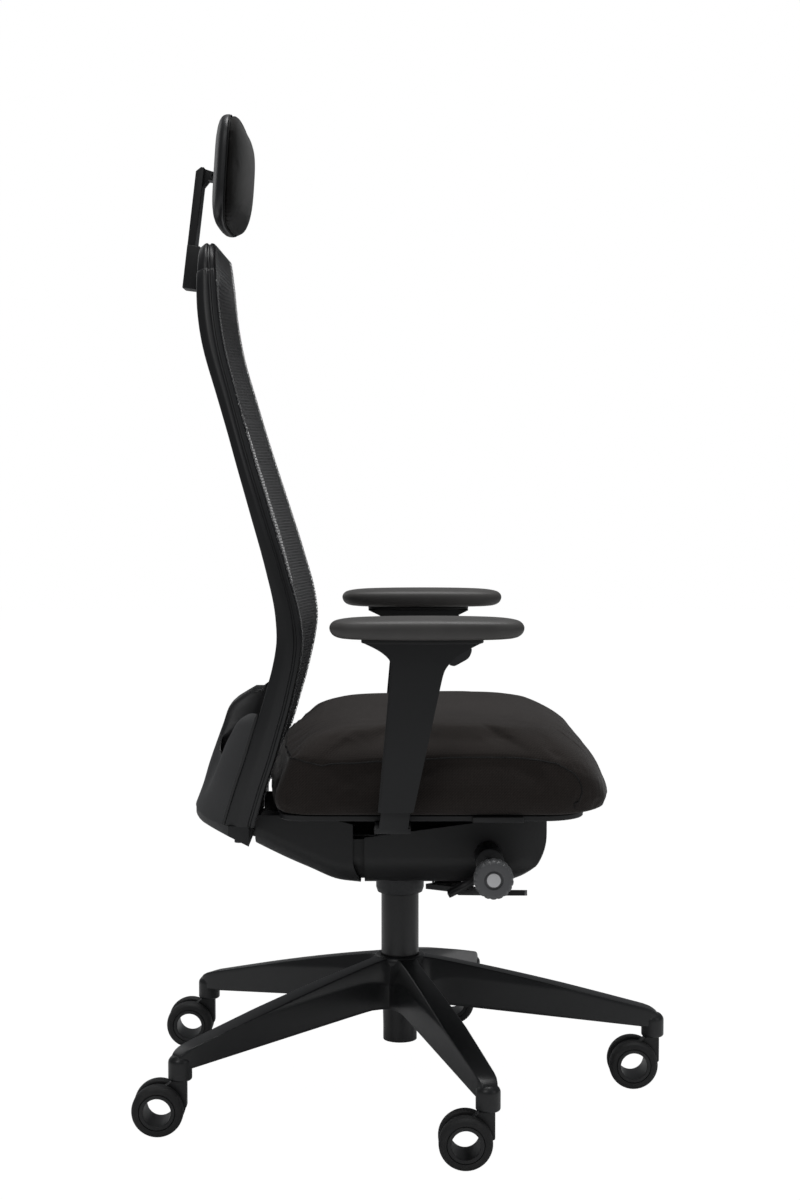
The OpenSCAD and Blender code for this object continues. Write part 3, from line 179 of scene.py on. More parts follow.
def woven(name, colour, light, pitch, depth=0.00022, heather=0.6):
    """Close woven upholstery: warp and weft rise and fall in turn along the surface's own map, in metres."""
    f = Finish(name)
    u, v = f.cloth_map()
    wave = f.noise(35.0, 2.0) * 0.7
    across, along = (u / pitch * math.tau + wave).sine(), (v / pitch * math.tau + wave).sine()
    check = (u / pitch * math.pi).sine() * (v / pitch * math.pi).sine()
    thread = check.ramp(-0.15, 0.15)
    height = thread * (0.5 + across * 0.5) + (1.0 - thread) * (0.5 + along * 0.5)
    slub, blotch = f.noise(900.0, 2.0), f.noise(14.0, 3.0)
    tint = (height * 0.55 + slub * heather).ramp(0.2, 1.1)
    body = f.blend(tint, colour, light)
    return f.made(Base_Color=f.blend(blotch.ramp(0.4, 0.75) * 0.25, body, tuple(c * 0.7 for c in colour)),
                  Roughness=0.86 + slub * 0.1, Normal=f.bump(height + slub * 0.5, 0.55, depth),
                  Sheen_Weight=0.12, Sheen_Roughness=0.4, Specular_IOR_Level=0.2)


def open_mesh(name, colour, light, pitch, bare):
    """Knitted mesh: zigzag ribs along the surface's own map, see-through where their cover is under bare."""
    f = Finish(name)
    u, v = f.cloth_map()
    zig = (v / (pitch * 1.6) * math.tau).sine() * 0.32
    rib = (((u / pitch + zig) * math.tau).sine() + 1.0) * 0.5
    rung = (((v / (pitch * 0.8)) * math.tau).sine() + 1.0) * 0.5
    cover = rib.most(rung * 0.84).ramp(bare - 0.05, bare + 0.05)
    fuzz = f.noise(1200.0, 2.0)
    return f.made(Base_Color=f.blend((rib * 0.6 + fuzz * 0.6).ramp(0.2, 1.1), colour, light), Alpha=cover,
                  Roughness=0.8 + fuzz * 0.15, Normal=f.bump(rib + rung * 0.5 + fuzz * 0.3, 0.6, 0.0004),
                  Sheen_Weight=0.2, Specular_IOR_Level=0.25)


def leathery(name, colour, light, rough, depth, grain):
    """Soft-touch cover or coated cloth: pebbled cells with finer creases."""
    f = Finish(name)
    warp = f.noise(80.0, 2.0)
    cells = f.add("ShaderNodeTexVoronoi", {"feature": "SMOOTH_F1"},
                  {"Vector": f.place, "Scale": grain, "Smoothness": 0.6})
    slow = f.noise(16.0, 3.0)
    return f.made(Base_Color=f.blend(slow.ramp(0.35, 0.75), colour, light),
                  Roughness=(rough - 0.06) + slow * 0.14 + cells * 0.05,
                  Normal=f.bump(cells + warp * 0.4, 0.4, depth))


# Surfaces, in millimetres

def rounded(corners, radius, steps=4):
    """Rounds each corner of closed loops of shape (rings, corners, axes): a quadratic curve runs from a point
    one radius before the corner to a point one radius after it."""
    corners = np.asarray(corners, float)
    single = corners.ndim == 2
    if single:
        corners = corners[None]
    reach = np.broadcast_to(np.asarray(radius, float), corners.shape[1])[None, :]

    def toward(other):
        way = other - corners
        length = np.linalg.norm(way, axis=-1)
        return corners + way * np.minimum(reach / np.maximum(length, 1e-6), 0.49)[..., None]

    before, after = toward(np.roll(corners, 1, 1)), toward(np.roll(corners, -1, 1))
    t = np.linspace(0, 1, steps + 1)[:, None]
    line = ((1 - t) ** 2 * before[:, :, None] + 2 * t * (1 - t) * corners[:, :, None]
            + t ** 2 * after[:, :, None]).reshape(len(corners), -1, corners.shape[2])
    return line[0] if single else line


def power(value, by):
    """A power that keeps the sign, for superellipses."""
    return np.sign(value) * np.abs(value) ** by


def table(x, *pairs):
    """Straight-line values of x between pairs of (place, value)."""
    places, values = np.array(pairs, float).T
    return np.interp(x, places, values)


def eased(x, *pairs):
    """Smooth values of x through pairs of (place, value): a cubic between neighbours with averaged slopes."""
    places, values = np.array(pairs, float).T
    slope = np.gradient(values, places)
    x = np.clip(np.asarray(x, float), places[0], places[-1])
    i = np.clip(np.searchsorted(places, x, "right") - 1, 0, len(places) - 2)
    h = places[i + 1] - places[i]
    t = (x - places[i]) / h
    return ((2 * t ** 3 - 3 * t ** 2 + 1) * values[i] + (t ** 3 - 2 * t ** 2 + t) * h * slope[i]
            + (3 * t ** 2 - 2 * t ** 3) * values[i + 1] + (t ** 3 - t ** 2) * h * slope[i + 1])


def skin(points, around=True, along=False, ends=True):
    """Faces over a grid of points (rings, points a ring, 3). Each ring closes on itself if around, the
    last ring meets the first if along, and otherwise a fan to the middle closes both end rings. The map is
    the mean length along the rings' way and round a ring, in metres."""
    rings, count = points.shape[:2]
    index = np.arange(rings * count).reshape(rings, count)
    rows, cols = np.arange(rings if along else rings - 1), np.arange(count if around else count - 1)
    square = ((0, 0), (1, 0), (1, 1), (0, 1))
    faces = np.stack([index[(rows + i) % rings][:, (cols + j) % count] for i, j in square], -1).reshape(-1, 4)
    steps = (np.linalg.norm(np.roll(points, -1, way) - points, axis=2).mean(1 - way) for way in (0, 1))
    u, v = (np.append(0, np.cumsum(step)) * MM for step in steps)
    r, k = np.meshgrid(rows, cols, indexing="ij")
    maps = np.stack([np.stack([u[r + i], v[k + j]], -1) for i, j in square], 2).reshape(-1, 2)
    vertices, faces = points.reshape(-1, 3), faces.tolist()
    if ends and not along:
        for ring, turn in ((0, 1), (rings - 1, -1)):
            hub = len(vertices)
            vertices = np.vstack([vertices, points[ring].mean(0)])
            loop = index[ring]
            fan = np.stack([np.full(count, hub), loop, np.roll(loop, -1)], -1)[:, ::turn]
            faces += fan.tolist()
            maps = np.vstack([maps, (vertices[fan.reshape(-1)][:, :2]) * MM])
    return vertices, faces, maps


def lathe(profile, centre, axis="z", turns=64, flute=None):
    """A closed profile of (radius, height) turned once about an axis through centre; flute, a function of the
    turn, scales the radius."""
    angle = np.linspace(0, math.tau, turns, endpoint=False)
    radius = profile[None, :, 0] * np.ones((turns, 1))
    if flute is not None:
        radius = flute(angle[:, None], radius)
    a, b = radius * np.cos(angle)[:, None], radius * np.sin(angle)[:, None]
    h = np.broadcast_to(profile[:, 1], radius.shape)
    order = {"z": (a, b, h), "y": (a, h, b)}[axis]
    return skin(np.stack(order, -1) + np.asarray(centre, float), True, True)


def slab(outline, low, high, axis="y"):
    """An outline (forward and height, or forward and side) carried straight between two levels."""
    outline = np.asarray(outline, float)
    level = np.repeat([low, high], len(outline)).reshape(2, -1)
    a, b = np.broadcast_to(outline[:, 0], level.shape), np.broadcast_to(outline[:, 1], level.shape)
    vertices = np.stack((a, level, b) if axis == "y" else (a, b, level), -1)
    count = len(outline)
    corners, faces, maps = skin(vertices, True, False, False)
    faces = faces + [list(range(count))[::-1], list(range(count, 2 * count))]
    flat = np.concatenate([outline[::-1], outline]) * MM
    return corners, faces, np.vstack([maps, flat])


def flipped(part, way):
    """A part of the left side as it is, for a way of 1, or on the right side, for -1."""
    corners, faces, maps = part
    return corners * (1, way, 1), faces, maps


def dress(thing, finish, body, replaces):
    thing.data.materials.clear()
    thing.data.materials.append(finish)
    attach(thing, body)
    if replaces:
        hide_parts(*replaces)
    return thing


def put(name, parts):
    """Makes one object of closed parts given in millimetres, with its lengths as a map."""
    corners, faces, maps, base = [], [], [], 0
    for part_corners, part_faces, part_maps in parts:
        corners.append(part_corners)
        faces += [[base + i for i in face] for face in part_faces]
        maps.append(part_maps)
        base += len(part_corners)
    mesh = bpy.data.meshes.new(name)
    mesh.from_pydata((np.vstack(corners) * MM).tolist(), [], faces)
    layer = mesh.uv_layers.new(name=MAP)
    layer.data.foreach_set("uv", np.vstack(maps).astype(np.float32).ravel())
    thing = bpy.data.objects.new(name, mesh)
    bpy.context.collection.objects.link(thing)
    return thing


def close(thing, dissolve=False):
    """Merges doubles and points every face outwards; dissolve also joins flat triangles."""
    shape = bmesh.new()
    shape.from_mesh(thing.data)
    bmesh.ops.remove_doubles(shape, verts=shape.verts, dist=2e-6)
    if dissolve:
        bmesh.ops.dissolve_limit(shape, angle_limit=0.02, verts=shape.verts, edges=shape.edges)
    bmesh.ops.recalc_face_normals(shape, faces=shape.faces)
    shape.to_mesh(thing.data)
    shape.free()


def piece(name, parts, finish, body, replaces=(), bevel=0.0, angle=38, levels=0, segments=3):
    """A finished piece: closed, smooth up to an angle, with bevelled edges or one subdivision."""
    thing = put(name, parts)
    close(thing)
    soften(thing, bevel, angle, levels, segments)
    return dress(thing, finish, body, replaces)


def soften(thing, bevel, angle, levels=0, segments=3):
    thing.data.shade_smooth()
    if not bevel and not levels:
        thing.data.set_sharp_from_angle(angle=math.radians(angle))
    if bevel:
        rim = thing.modifiers.new("edges", "BEVEL")
        rim.width, rim.segments = bevel * MM, segments
        rim.limit_method, rim.angle_limit = "ANGLE", math.radians(angle)
        rim.harden_normals = True
        rim.use_clamp_overlap = True
    if levels:
        fine = thing.modifiers.new("fine", "SUBSURF")
        fine.levels = fine.render_levels = levels


def refined(node, name, finish, body, bevel=0.8, angle=32, segments=3):
    """A copy of a CAD node's mesh with its triangles merged, its flats joined and its edges rounded."""
    thing = bpy.data.objects.new(name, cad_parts[node].data.copy())
    bpy.context.collection.objects.link(thing)
    close(thing, dissolve=True)
    soften(thing, bevel, angle, 0, segments)
    return dress(thing, finish, body, [node])


# Base, castors and column

BASE_R = 340.0
LEGS = [math.radians(-72 + 72 * i) for i in range(5)]


def both_sides(*corners):
    """Lines of (side, height) corners, one line a ring: as given down one side, then back up the other."""
    half = np.stack([np.stack(np.broadcast_arrays(*corner), -1) for corner in corners], 1)
    return np.concatenate([half, half[:, ::-1] * (-1, 1)], 1)


def leg(turn):
    """One leg, as rings along its radius: the top line is a straight fall with a bow, the width narrows
    with an exponential flare into the hub, and the section is a drafted box with a channel under it."""
    r = np.concatenate([np.linspace(26, 60, 10), np.linspace(68, 328, 30), [336, 341, 344.5, 346.8, 348.2]])
    t = (r - 30) / 318
    end = np.clip((r - 328) / 20.2, 0, 1)
    round_off = 1 - np.sqrt(np.clip(1 - end ** 2, 0, 1))
    top = 179 + (104 - 179) * t + 3.3 * np.sin(np.clip(t, 0, 1) ** 0.8 * math.pi) - round_off * 9
    low = table(r, (26, 115), (60, 115), (348.2, 80.6)) + round_off * 5
    half = (20 - 6.5 * t + 15 * np.exp(-(r - 28) / 13)) * (1 - round_off * 0.42)
    flat = np.minimum(20 - (top - 80) / 101 * 9.4, half - 1.4) + 3 * np.exp(-(r - 28) / 10)
    shoulder = top - np.clip((half - flat) * 2.2, 1.5, 30)
    ends = np.clip((r - 42) / 12, 0, 1) * np.clip((312 - r) / 14, 0, 1)
    ceiling = low + np.clip(top - low - 7, 2, 60) * ends + 0.2
    corners = both_sides((flat, top), (half - 0.6, shoulder), (half, low + 3), (half - 1, low),
                         (half - 5, low), (half - 7, ceiling))
    ring = rounded(corners, [1.6, 3, 2, 1, 1, 2, 2, 1, 1, 2, 3, 1.6], 3)
    x = np.broadcast_to(r[:, None], ring.shape[:2])
    c, s = math.cos(turn), math.sin(turn)
    return skin(np.stack([x * c - ring[..., 0] * s, x * s + ring[..., 0] * c, ring[..., 1]], -1))


def build_base(plastic, wheel_body, tread, tube):
    boss = rounded([(5.6, 68), (13.6, 68), (15, 70), (15, 93), (10, 99), (5.6, 99)], [0.5, 1, 1, 3, 3, 0.5])
    parts = [leg(a) for a in LEGS]
    parts += [lathe(boss, (BASE_R * math.cos(a), BASE_R * math.sin(a), 0), turns=40) for a in LEGS]
    parts.append(lathe(rounded([(25.4, 114.4), (33, 114.4), (34.6, 118), (35.2, 150), (34.8, 176), (32, 181),
                                (28, 181), (26.6, 179.4), (25.4, 179.4)],
                               [0.3, 1, 2, 8, 3, 2.4, 0.8, 0.6, 0.3]), (0, 0, 0), turns=96))
    piece("base_star", parts, plastic, "base", ["star_base"])
    wheel = rounded([(20.6, 7.4), (30.6, 7.4), (32.5, 9.6), (32.5, 20.6), (28.6, 25), (23, 25), (23, 22.7),
                     (20.6, 22.7)], [0.4, 1, 2, 3.4, 2, 0.5, 0.5, 0.4], 5)
    ring = rounded([(17.5, -25), (22.3, -25), (22.3, -23.2), (20.5, -22.8), (20.5, 22.8), (22.3, 23.2),
                    (22.3, 25), (17.5, 25)], [0.8, 1, 0.6, 0.4, 0.4, 0.6, 1, 0.8])
    disc = rounded([(18, -7), (27.5, -7), (28.5, -6), (28.5, 6), (27.5, 7), (18, 7)], 0.8)
    for i, a in enumerate(LEGS, 1):
        x, y = BASE_R * math.cos(a), BASE_R * math.sin(a)
        hub = (x - 27, y, 32.5)
        tower = rounded([(-8.4, 34), (8.4, 33), (8.4, 67.5), (-10, 67.5), (-17, 61), (-26, 59), (-16.5, 48)],
                        [2, 3, 2, 2, 4, 3, 8]) + np.array([x, 0])
        sides = [slab(tower, y - 7, y + 7), lathe(disc, hub, "y"), lathe(ring, hub, "y", 72)]
        piece(f"castor_fork_{i}", sides, wheel_body, f"castor_{i}", [f"castor_frame_{i}"], 0.7)
        pair = [lathe(wheel, hub, "y", 72), lathe(wheel * (1, -1), hub, "y", 72)]
        piece(f"castor_tyres_{i}", pair, tread, f"castor_{i}_wheels", [f"castor_wheels_{i}"])
    sleeve = rounded([(20.6, 64), (22.6, 64), (22.6, 84.6), (25, 180.6), (25, 264), (24.2, 265), (23.5, 265),
                      (23.4, 204), (20.8, 68)], [0.5, 0.8, 1, 1, 0.8, 0.4, 0.4, 1, 0.5])
    piece("column_sleeve", [lathe(sleeve, (0, 0, 0), turns=96)], tube, "base", ["column_tube"])


# Mechanism, seat and arms

SHAFT = (113.6, 0, 333.7)


def trough(rings):
    """A wall along a path of open sections, each an outer line and its inner line turned back: the sides
    close round, and strips from the outer line to the inner one close both ends."""
    corners, faces, maps = skin(rings, True, False, False)
    count, last = rings.shape[1], (rings.shape[0] - 1) * rings.shape[1]
    i = np.arange(count // 2 - 1)
    strip = np.stack([i, i + 1, count - 2 - i, count - 1 - i], -1)
    both = np.vstack([strip[:, ::-1], strip + last])
    return corners, faces + both.tolist(), np.vstack([maps, corners[both.reshape(-1)][:, :2] * MM])


def wall(line, thick):
    """Open lines of shape (rings, points, 3) with their inner twins, moved in by the wall along the flat
    normal of each line in its side-and-height plane."""
    way = np.gradient(line, axis=1)[..., 1:]
    normal = np.stack([-way[..., 1], way[..., 0]], -1)
    normal /= np.maximum(np.linalg.norm(normal, axis=-1, keepdims=True), 1e-9)
    inner = line.copy()
    inner[..., 1:] += normal * thick
    return np.concatenate([line, inner[:, ::-1]], 1)


def open_rounded(corners, radius, steps=5):
    """Rounds the inner corners of open lines and keeps their two ends."""
    whole = rounded(corners, radius, steps).reshape(len(corners), -1, corners.shape[2])
    return np.concatenate([corners[:, :1], whole[:, steps + 1:-(steps + 1)], corners[:, -1:]], 1)


def standing(x, line):
    """Lines of (side, height) points, each at its own place forward."""
    return np.concatenate([np.broadcast_to(x, line.shape[:2])[..., None], line], -1)


def build_shrouds(plastic):
    """The front shroud's keel is level, then a quarter circle up to its nose; its section is a flat floor
    with sloping bilges and upright sides. The rear shroud's keel follows a table of rising heights."""
    turn = np.radians(np.linspace(-90, 0, 22))
    x = np.concatenate([np.linspace(-46, 120, 12), 124 + 66 * np.cos(turn)])
    keel = np.concatenate([np.full(12, 294.0), 360 + 66 * np.sin(turn)])
    narrow = 15 * np.clip((x - 130) / 60, 0, 1) ** 3
    half, flat = 104 - narrow, 78 - narrow * 0.6
    bilge = np.clip(keel - 294, 0, 26)
    top = table(x, (-46, 356), (116, 378), (190, 378))
    side = np.minimum(np.maximum(keel, 320) + 0.01, top - 0.5)
    line = open_rounded(both_sides((half, top), (half, side), (flat + bilge * 0.9, keel)),
                        [1, 12, 16, 16, 12, 1])
    front = trough(wall(standing(x[:, None], line), 2.5))
    nose = line[-1]
    cap = [skin(np.stack([np.column_stack([np.full(len(nose), at), nose * (1, s) + (0, 378 * (1 - s))])
                          for at, s in ((190, 1.0), (190, 0.9), (187, 0.9), (187, 1.0))]), False, True)]
    level = np.full(2, 352.0)
    lip = open_rounded(both_sides((93, level), (93, level - 30), (76, level - 54.4)), [1, 9, 12, 12, 9, 1])
    lip = trough(wall(standing(np.array([[-61.0], [-40.0]]), lip), 1.6))
    boss = lathe(rounded([(5.5, -154), (16.6, -154), (18, -152), (18, -102.5), (5.5, -102.5)],
                         [0.5, 1, 1.6, 0.5, 0.5]), SHAFT, "y", 72)
    piece("under_shroud", [front, lip, boss] + cap, plastic, "chassis", ["front_shroud"],
          angle=50)
    share = np.linspace(0, 1, 26)
    keel = 294 + 52.2 * eased(share, (0, 0), (0.24, 0.09), (0.48, 0.36), (0.69, 0.6), (0.88, 0.84), (1, 1))
    x = -51 - share * (187.6 - 51)
    top = np.maximum(table(-x, (51, 366), (61, 372), (90, 379), (120, 384), (188, 384)), keel + 14)
    back_cut = np.clip(1 - share * 14, 0, 1) * 10
    line = open_rounded(both_sides((97, top), (97, keel + 18), (79, keel)), [1, 9, 12, 12, 9, 1])
    lift = np.clip((line[..., 1] - keel[:, None]) / 26, 0, 1)
    rear = trough(wall(standing(x[:, None] - back_cut[:, None] * lift, line), 2.5))
    piece("tilting_shroud", [rear], plastic, "back", ["rear_shroud"], angle=50)


def build_controls(grey, light, dark):
    """The knob is turned about its shaft, with finger flutes as a power of a cosine round its rim."""
    def flute(angle, radius):
        return radius - (radius > 21) * 0.9 * (0.5 + 0.5 * np.cos(angle * 18)) ** 3

    rim = rounded([(5.1, -270), (9.1, -270), (9.1, -267.6), (11.5, -267.6), (11.5, -270.2), (21.5, -270.2),
                   (24.6, -266), (24.2, -251), (20, -249.6), (10, -249.6), (10, -238), (5.1, -238)],
                  [0.3, 0.3, 0.3, 0.6, 0.8, 2, 2.4, 1.6, 1, 1, 1, 0.3])
    piece("knob_grip", [lathe(rim, SHAFT, "y", 216, flute)], grey, "tension",
          ["tension_knob"], angle=50)
    cap = rounded([(0.02, -270.9), (6, -270.8), (8.4, -270.2), (9, -269), (9, -267.5), (0.02, -267.5)],
                  [0.01, 2, 1, 0.4, 0.2, 0.01])
    piece("knob_centre", [lathe(cap, SHAFT, "y", 72)], light, "tension", ["knob_cap"])
    refined("lock_paddle", "lock_lever", dark, "lock", 1.0, 30)
    refined("height_lever", "lift_lever", dark, "height_lever", 2.0, 30, 4)


SEAT_FRONT, SEAT_REAR, SEAT_HALF, SEAT_LOW = 281.0, 165.0, 246.0, 406.0


def seat_plan(front, rear, half, front_corner, rear_corner, bow, steps=24):
    """The seat's outline: quarter circles at its corners, and edges that bow out by a half sine."""
    def corner(x, y, radius, start):
        a = np.radians(np.linspace(start, start + 90, 10))
        return x + radius * np.sin(a), y - radius * np.cos(a)

    t = np.linspace(0, 1, steps + 1)[1:-1]
    s = np.linspace(0, 1, 15)[1:-1]
    r, q = front_corner, rear_corner
    x, back_x, y, back_y = front - r, q - rear, half - r, half - q
    runs = [corner(x, -y, r, 0), (front + bow * np.sin(t * math.pi), y * (2 * t - 1)),
            corner(x, y, r, 90), (x + (back_x - x) * s, half),
            corner(back_x, back_y, q, 180), (-rear - bow * np.sin(t * math.pi), back_y * (1 - 2 * t)),
            corner(back_x, -back_y, q, 270), (back_x + (x - back_x) * s, -half)]
    return np.concatenate([np.column_stack(np.broadcast_arrays(*run)) for run in runs])


def seam_height(x):
    """The widest line of the cushion is level along its sides and rolls down to the underside at the nose."""
    return eased(x, (-170, 480), (-140, 478), (-95, 471), (-26, 473), (60, 478), (150, 478), (190, 472),
                 (214, 461), (240, 443), (262, 424), (276, 413), (290, 411))


def crown_height(x):
    """The cushion's top line, from its rear edge over the level middle and down round the nose."""
    return eased(x, (-165, 480), (-136, 484), (-117, 493), (-81, 502), (0, 507), (68, 509), (109, 508),
                 (169, 503), (208, 490), (234, 477), (254, 464), (270, 450), (281, 436), (288, 420))


def seat_rings(inset):
    """Rings of the cushion from its underside up the drawn-in side to the widest line, then over the crown: a
    ring is the plan drawn in towards the middle, and the crown's rise is one minus a power of that share."""
    plan = seat_plan(SEAT_FRONT - 16 - inset, SEAT_REAR - 16 - inset, SEAT_HALF - inset, 70, 38, 16)
    middle = (SEAT_FRONT - SEAT_REAR) / 2
    rings = []
    seam = seam_height(plan[:, 0])
    nose = np.clip((plan[:, 0] - 200) / 75, 0, 1)
    tail = np.clip((-90 - plan[:, 0]) / 50, 0, 1)
    for tuck, front, share in ((12, 22, 0.0), (6, 14, 0.1), (2.4, 7, 0.3), (1.4, 2, 0.6), (1.8, 0.6, 0.88),
                               (2.2, 0, 0.97), (2, 0, 1.0)):
        tucked = tuck + (front - tuck) * nose
        lean = tail * (0.26 * (seam - SEAT_LOW) * (1 - share) - 8 * (share == 0))
        rings.append(np.column_stack([middle + (plan[:, 0] - middle) * (1 - tucked / 224) - lean,
                                      plan[:, 1] * (1 - tucked / 246), SEAT_LOW + (seam - SEAT_LOW) * share]))
    for share in (0.993, 0.982, 0.966, 0.945, 0.92, 0.88, 0.82, 0.74, 0.62, 0.46, 0.28, 0.1):
        x = middle + (plan[:, 0] - middle) * share
        rise = (1 - share ** (7 + 17 * nose)) ** 0.55
        rings.append(np.column_stack([x, plan[:, 1] * share, seam + (crown_height(x) - seam) * rise]))
    return np.stack(rings)


def points_of(mesh):
    flat = np.empty(len(mesh.vertices) * 3)
    mesh.vertices.foreach_get("co", flat)
    return flat.reshape(-1, 3)


def set_points(mesh, points):
    mesh.vertices.foreach_set("co", points.ravel())
    mesh.update()


def swell(thing, voxel, pressure, cap, hold):
    """Fills a soft piece: an even mesh of small squares swells as cloth under pressure, no point further than
    the cap, and the points that hold() names stay where they are."""
    grid = thing.modifiers.new("grid", "REMESH")
    grid.mode, grid.voxel_size, grid.use_smooth_shade = "VOXEL", voxel, True
    soft = thing.modifiers.new("even", "SMOOTH")
    soft.factor, soft.iterations = 0.5, 2
    bake(thing)
    start = points_of(thing.data)
    kept = thing.vertex_groups.new(name="held")
    kept.add(np.flatnonzero(hold(start)).tolist(), 1.0, "REPLACE")
    cloth = thing.modifiers.new("fill", "CLOTH")
    cloth.settings.quality = 4
    cloth.settings.use_pressure = True
    cloth.settings.uniform_pressure_force = pressure
    cloth.settings.vertex_group_mass = "held"
    cloth.settings.effector_weights.gravity = 0
    cloth.collision_settings.use_collision = False
    for step in range(1, 21):
        bpy.context.scene.frame_set(step)
    seen = thing.evaluated_get(bpy.context.evaluated_depsgraph_get())
    way = points_of(seen.data) - start
    thing.modifiers.remove(cloth)
    bpy.context.scene.frame_set(1)
    length = np.linalg.norm(way, axis=1, keepdims=True)
    start += way * np.minimum(1, cap / np.maximum(length, 1e-9))
    thing.vertex_groups.clear()
    set_points(thing.data, start)
    thing.data.shade_smooth()


def bake(thing):
    """Replaces a mesh by what its modifiers make of it."""
    seen = thing.evaluated_get(bpy.context.evaluated_depsgraph_get())
    mesh = bpy.data.meshes.new_from_object(seen)
    thing.modifiers.clear()
    thing.data = mesh


def wrap_map(thing):
    """A map in metres from the side that each face looks to: plan on top, side or front view elsewhere."""
    mesh = thing.data
    corner = np.empty(len(mesh.loops), np.int32)
    mesh.loops.foreach_get("vertex_index", corner)
    place = points_of(mesh)[corner]
    sizes = np.empty(len(mesh.polygons), np.int32)
    mesh.polygons.foreach_get("loop_total", sizes)
    normal = np.empty(len(mesh.polygons) * 3)
    mesh.polygons.foreach_get("normal", normal)
    normal = np.abs(np.repeat(normal.reshape(-1, 3), sizes, axis=0))
    side = np.where(normal[:, 2] > 0.55, 2, np.where(normal[:, 1] > normal[:, 0], 1, 0))
    flat = np.where((side == 2)[:, None], place[:, :2], np.where((side == 1)[:, None], place[:, [0, 2]],
                                                                 place[:, 1:]))
    layer = mesh.uv_layers.get(MAP) or mesh.uv_layers.new(name=MAP)
    layer.data.foreach_set("uv", flat.astype(np.float32).ravel())


def tube_along(path, radius, axis, closed=True, sides=8):
    """A round bar along a path, its circles set out from an axis that the path never runs along."""
    way = np.roll(path, -1, 0) - np.roll(path, 1, 0) if closed else np.gradient(path, axis=0)
    way /= np.linalg.norm(way, axis=1, keepdims=True)
    out = np.cross(way, axis)
    out /= np.linalg.norm(out, axis=1, keepdims=True)
    up = np.cross(out, way)
    turn = np.linspace(0, math.tau, sides, endpoint=False)[:, None]
    circles = radius * (out[:, None] * np.cos(turn) + up[:, None] * np.sin(turn))
    return skin(path[:, None] + circles, True, closed)


def build_seat(cloth, piping, dark):
    body = put("seat_upholstery", [skin(seat_rings(3))])
    close(body)
    swell(body, 0.005, 4.0, 0.008, lambda p: p[:, 2] < 0.4095)
    wrap_map(body)
    soften(body, 0, 0, levels=1)
    dress(body, cloth, "seat", ["seat_cushion"])
    near = BVHTree.FromObject(body, bpy.context.evaluated_depsgraph_get())
    run = np.array([(226, 246, 411), (231, 246, 424), (233, 246, 436), (229, 246, 449), (216, 246, 463),
                    (196, 246, 474), (170, 247, 479), (100, 248, 481), (40, 248, 479), (-26, 248, 475),
                    (-80, 248, 472), (-112, 247, 473), (-134, 240, 481), (-150, 218, 490),
                    (-160, 160, 494), (-164, 80, 496)], float)
    run = np.vstack([run, run[::-1] * (1, -1, 1)])
    for _ in range(3):
        cut = np.column_stack([run[:-1] * 0.75 + run[1:] * 0.25, run[:-1] * 0.25 + run[1:] * 0.75])
        run = np.vstack([run[:1], cut.reshape(-1, 3), run[-1:]])
    seam = np.array([near.find_nearest(point)[0] for point in run * MM]) / MM
    seam = seam[np.append(True, np.linalg.norm(np.diff(seam, axis=0), axis=1) > 0.5)]
    piece("seat_seam", [tube_along(seam, 0.95, (0, 0, 1.0), False)], piping, "seat")
    pan = rounded(seat_plan(229, 148.7, 228, 52, 29, 16, 24)[None], 1.0, 1)[0]
    tray = slab(pan, 398.6, 405.8, "z")
    piece("seat_tray", [tray], dark, "seat", ["seat_pan"], 1.4)
    refined("depth_latch", "slide_latch", dark, "depth_latch", 1.2)


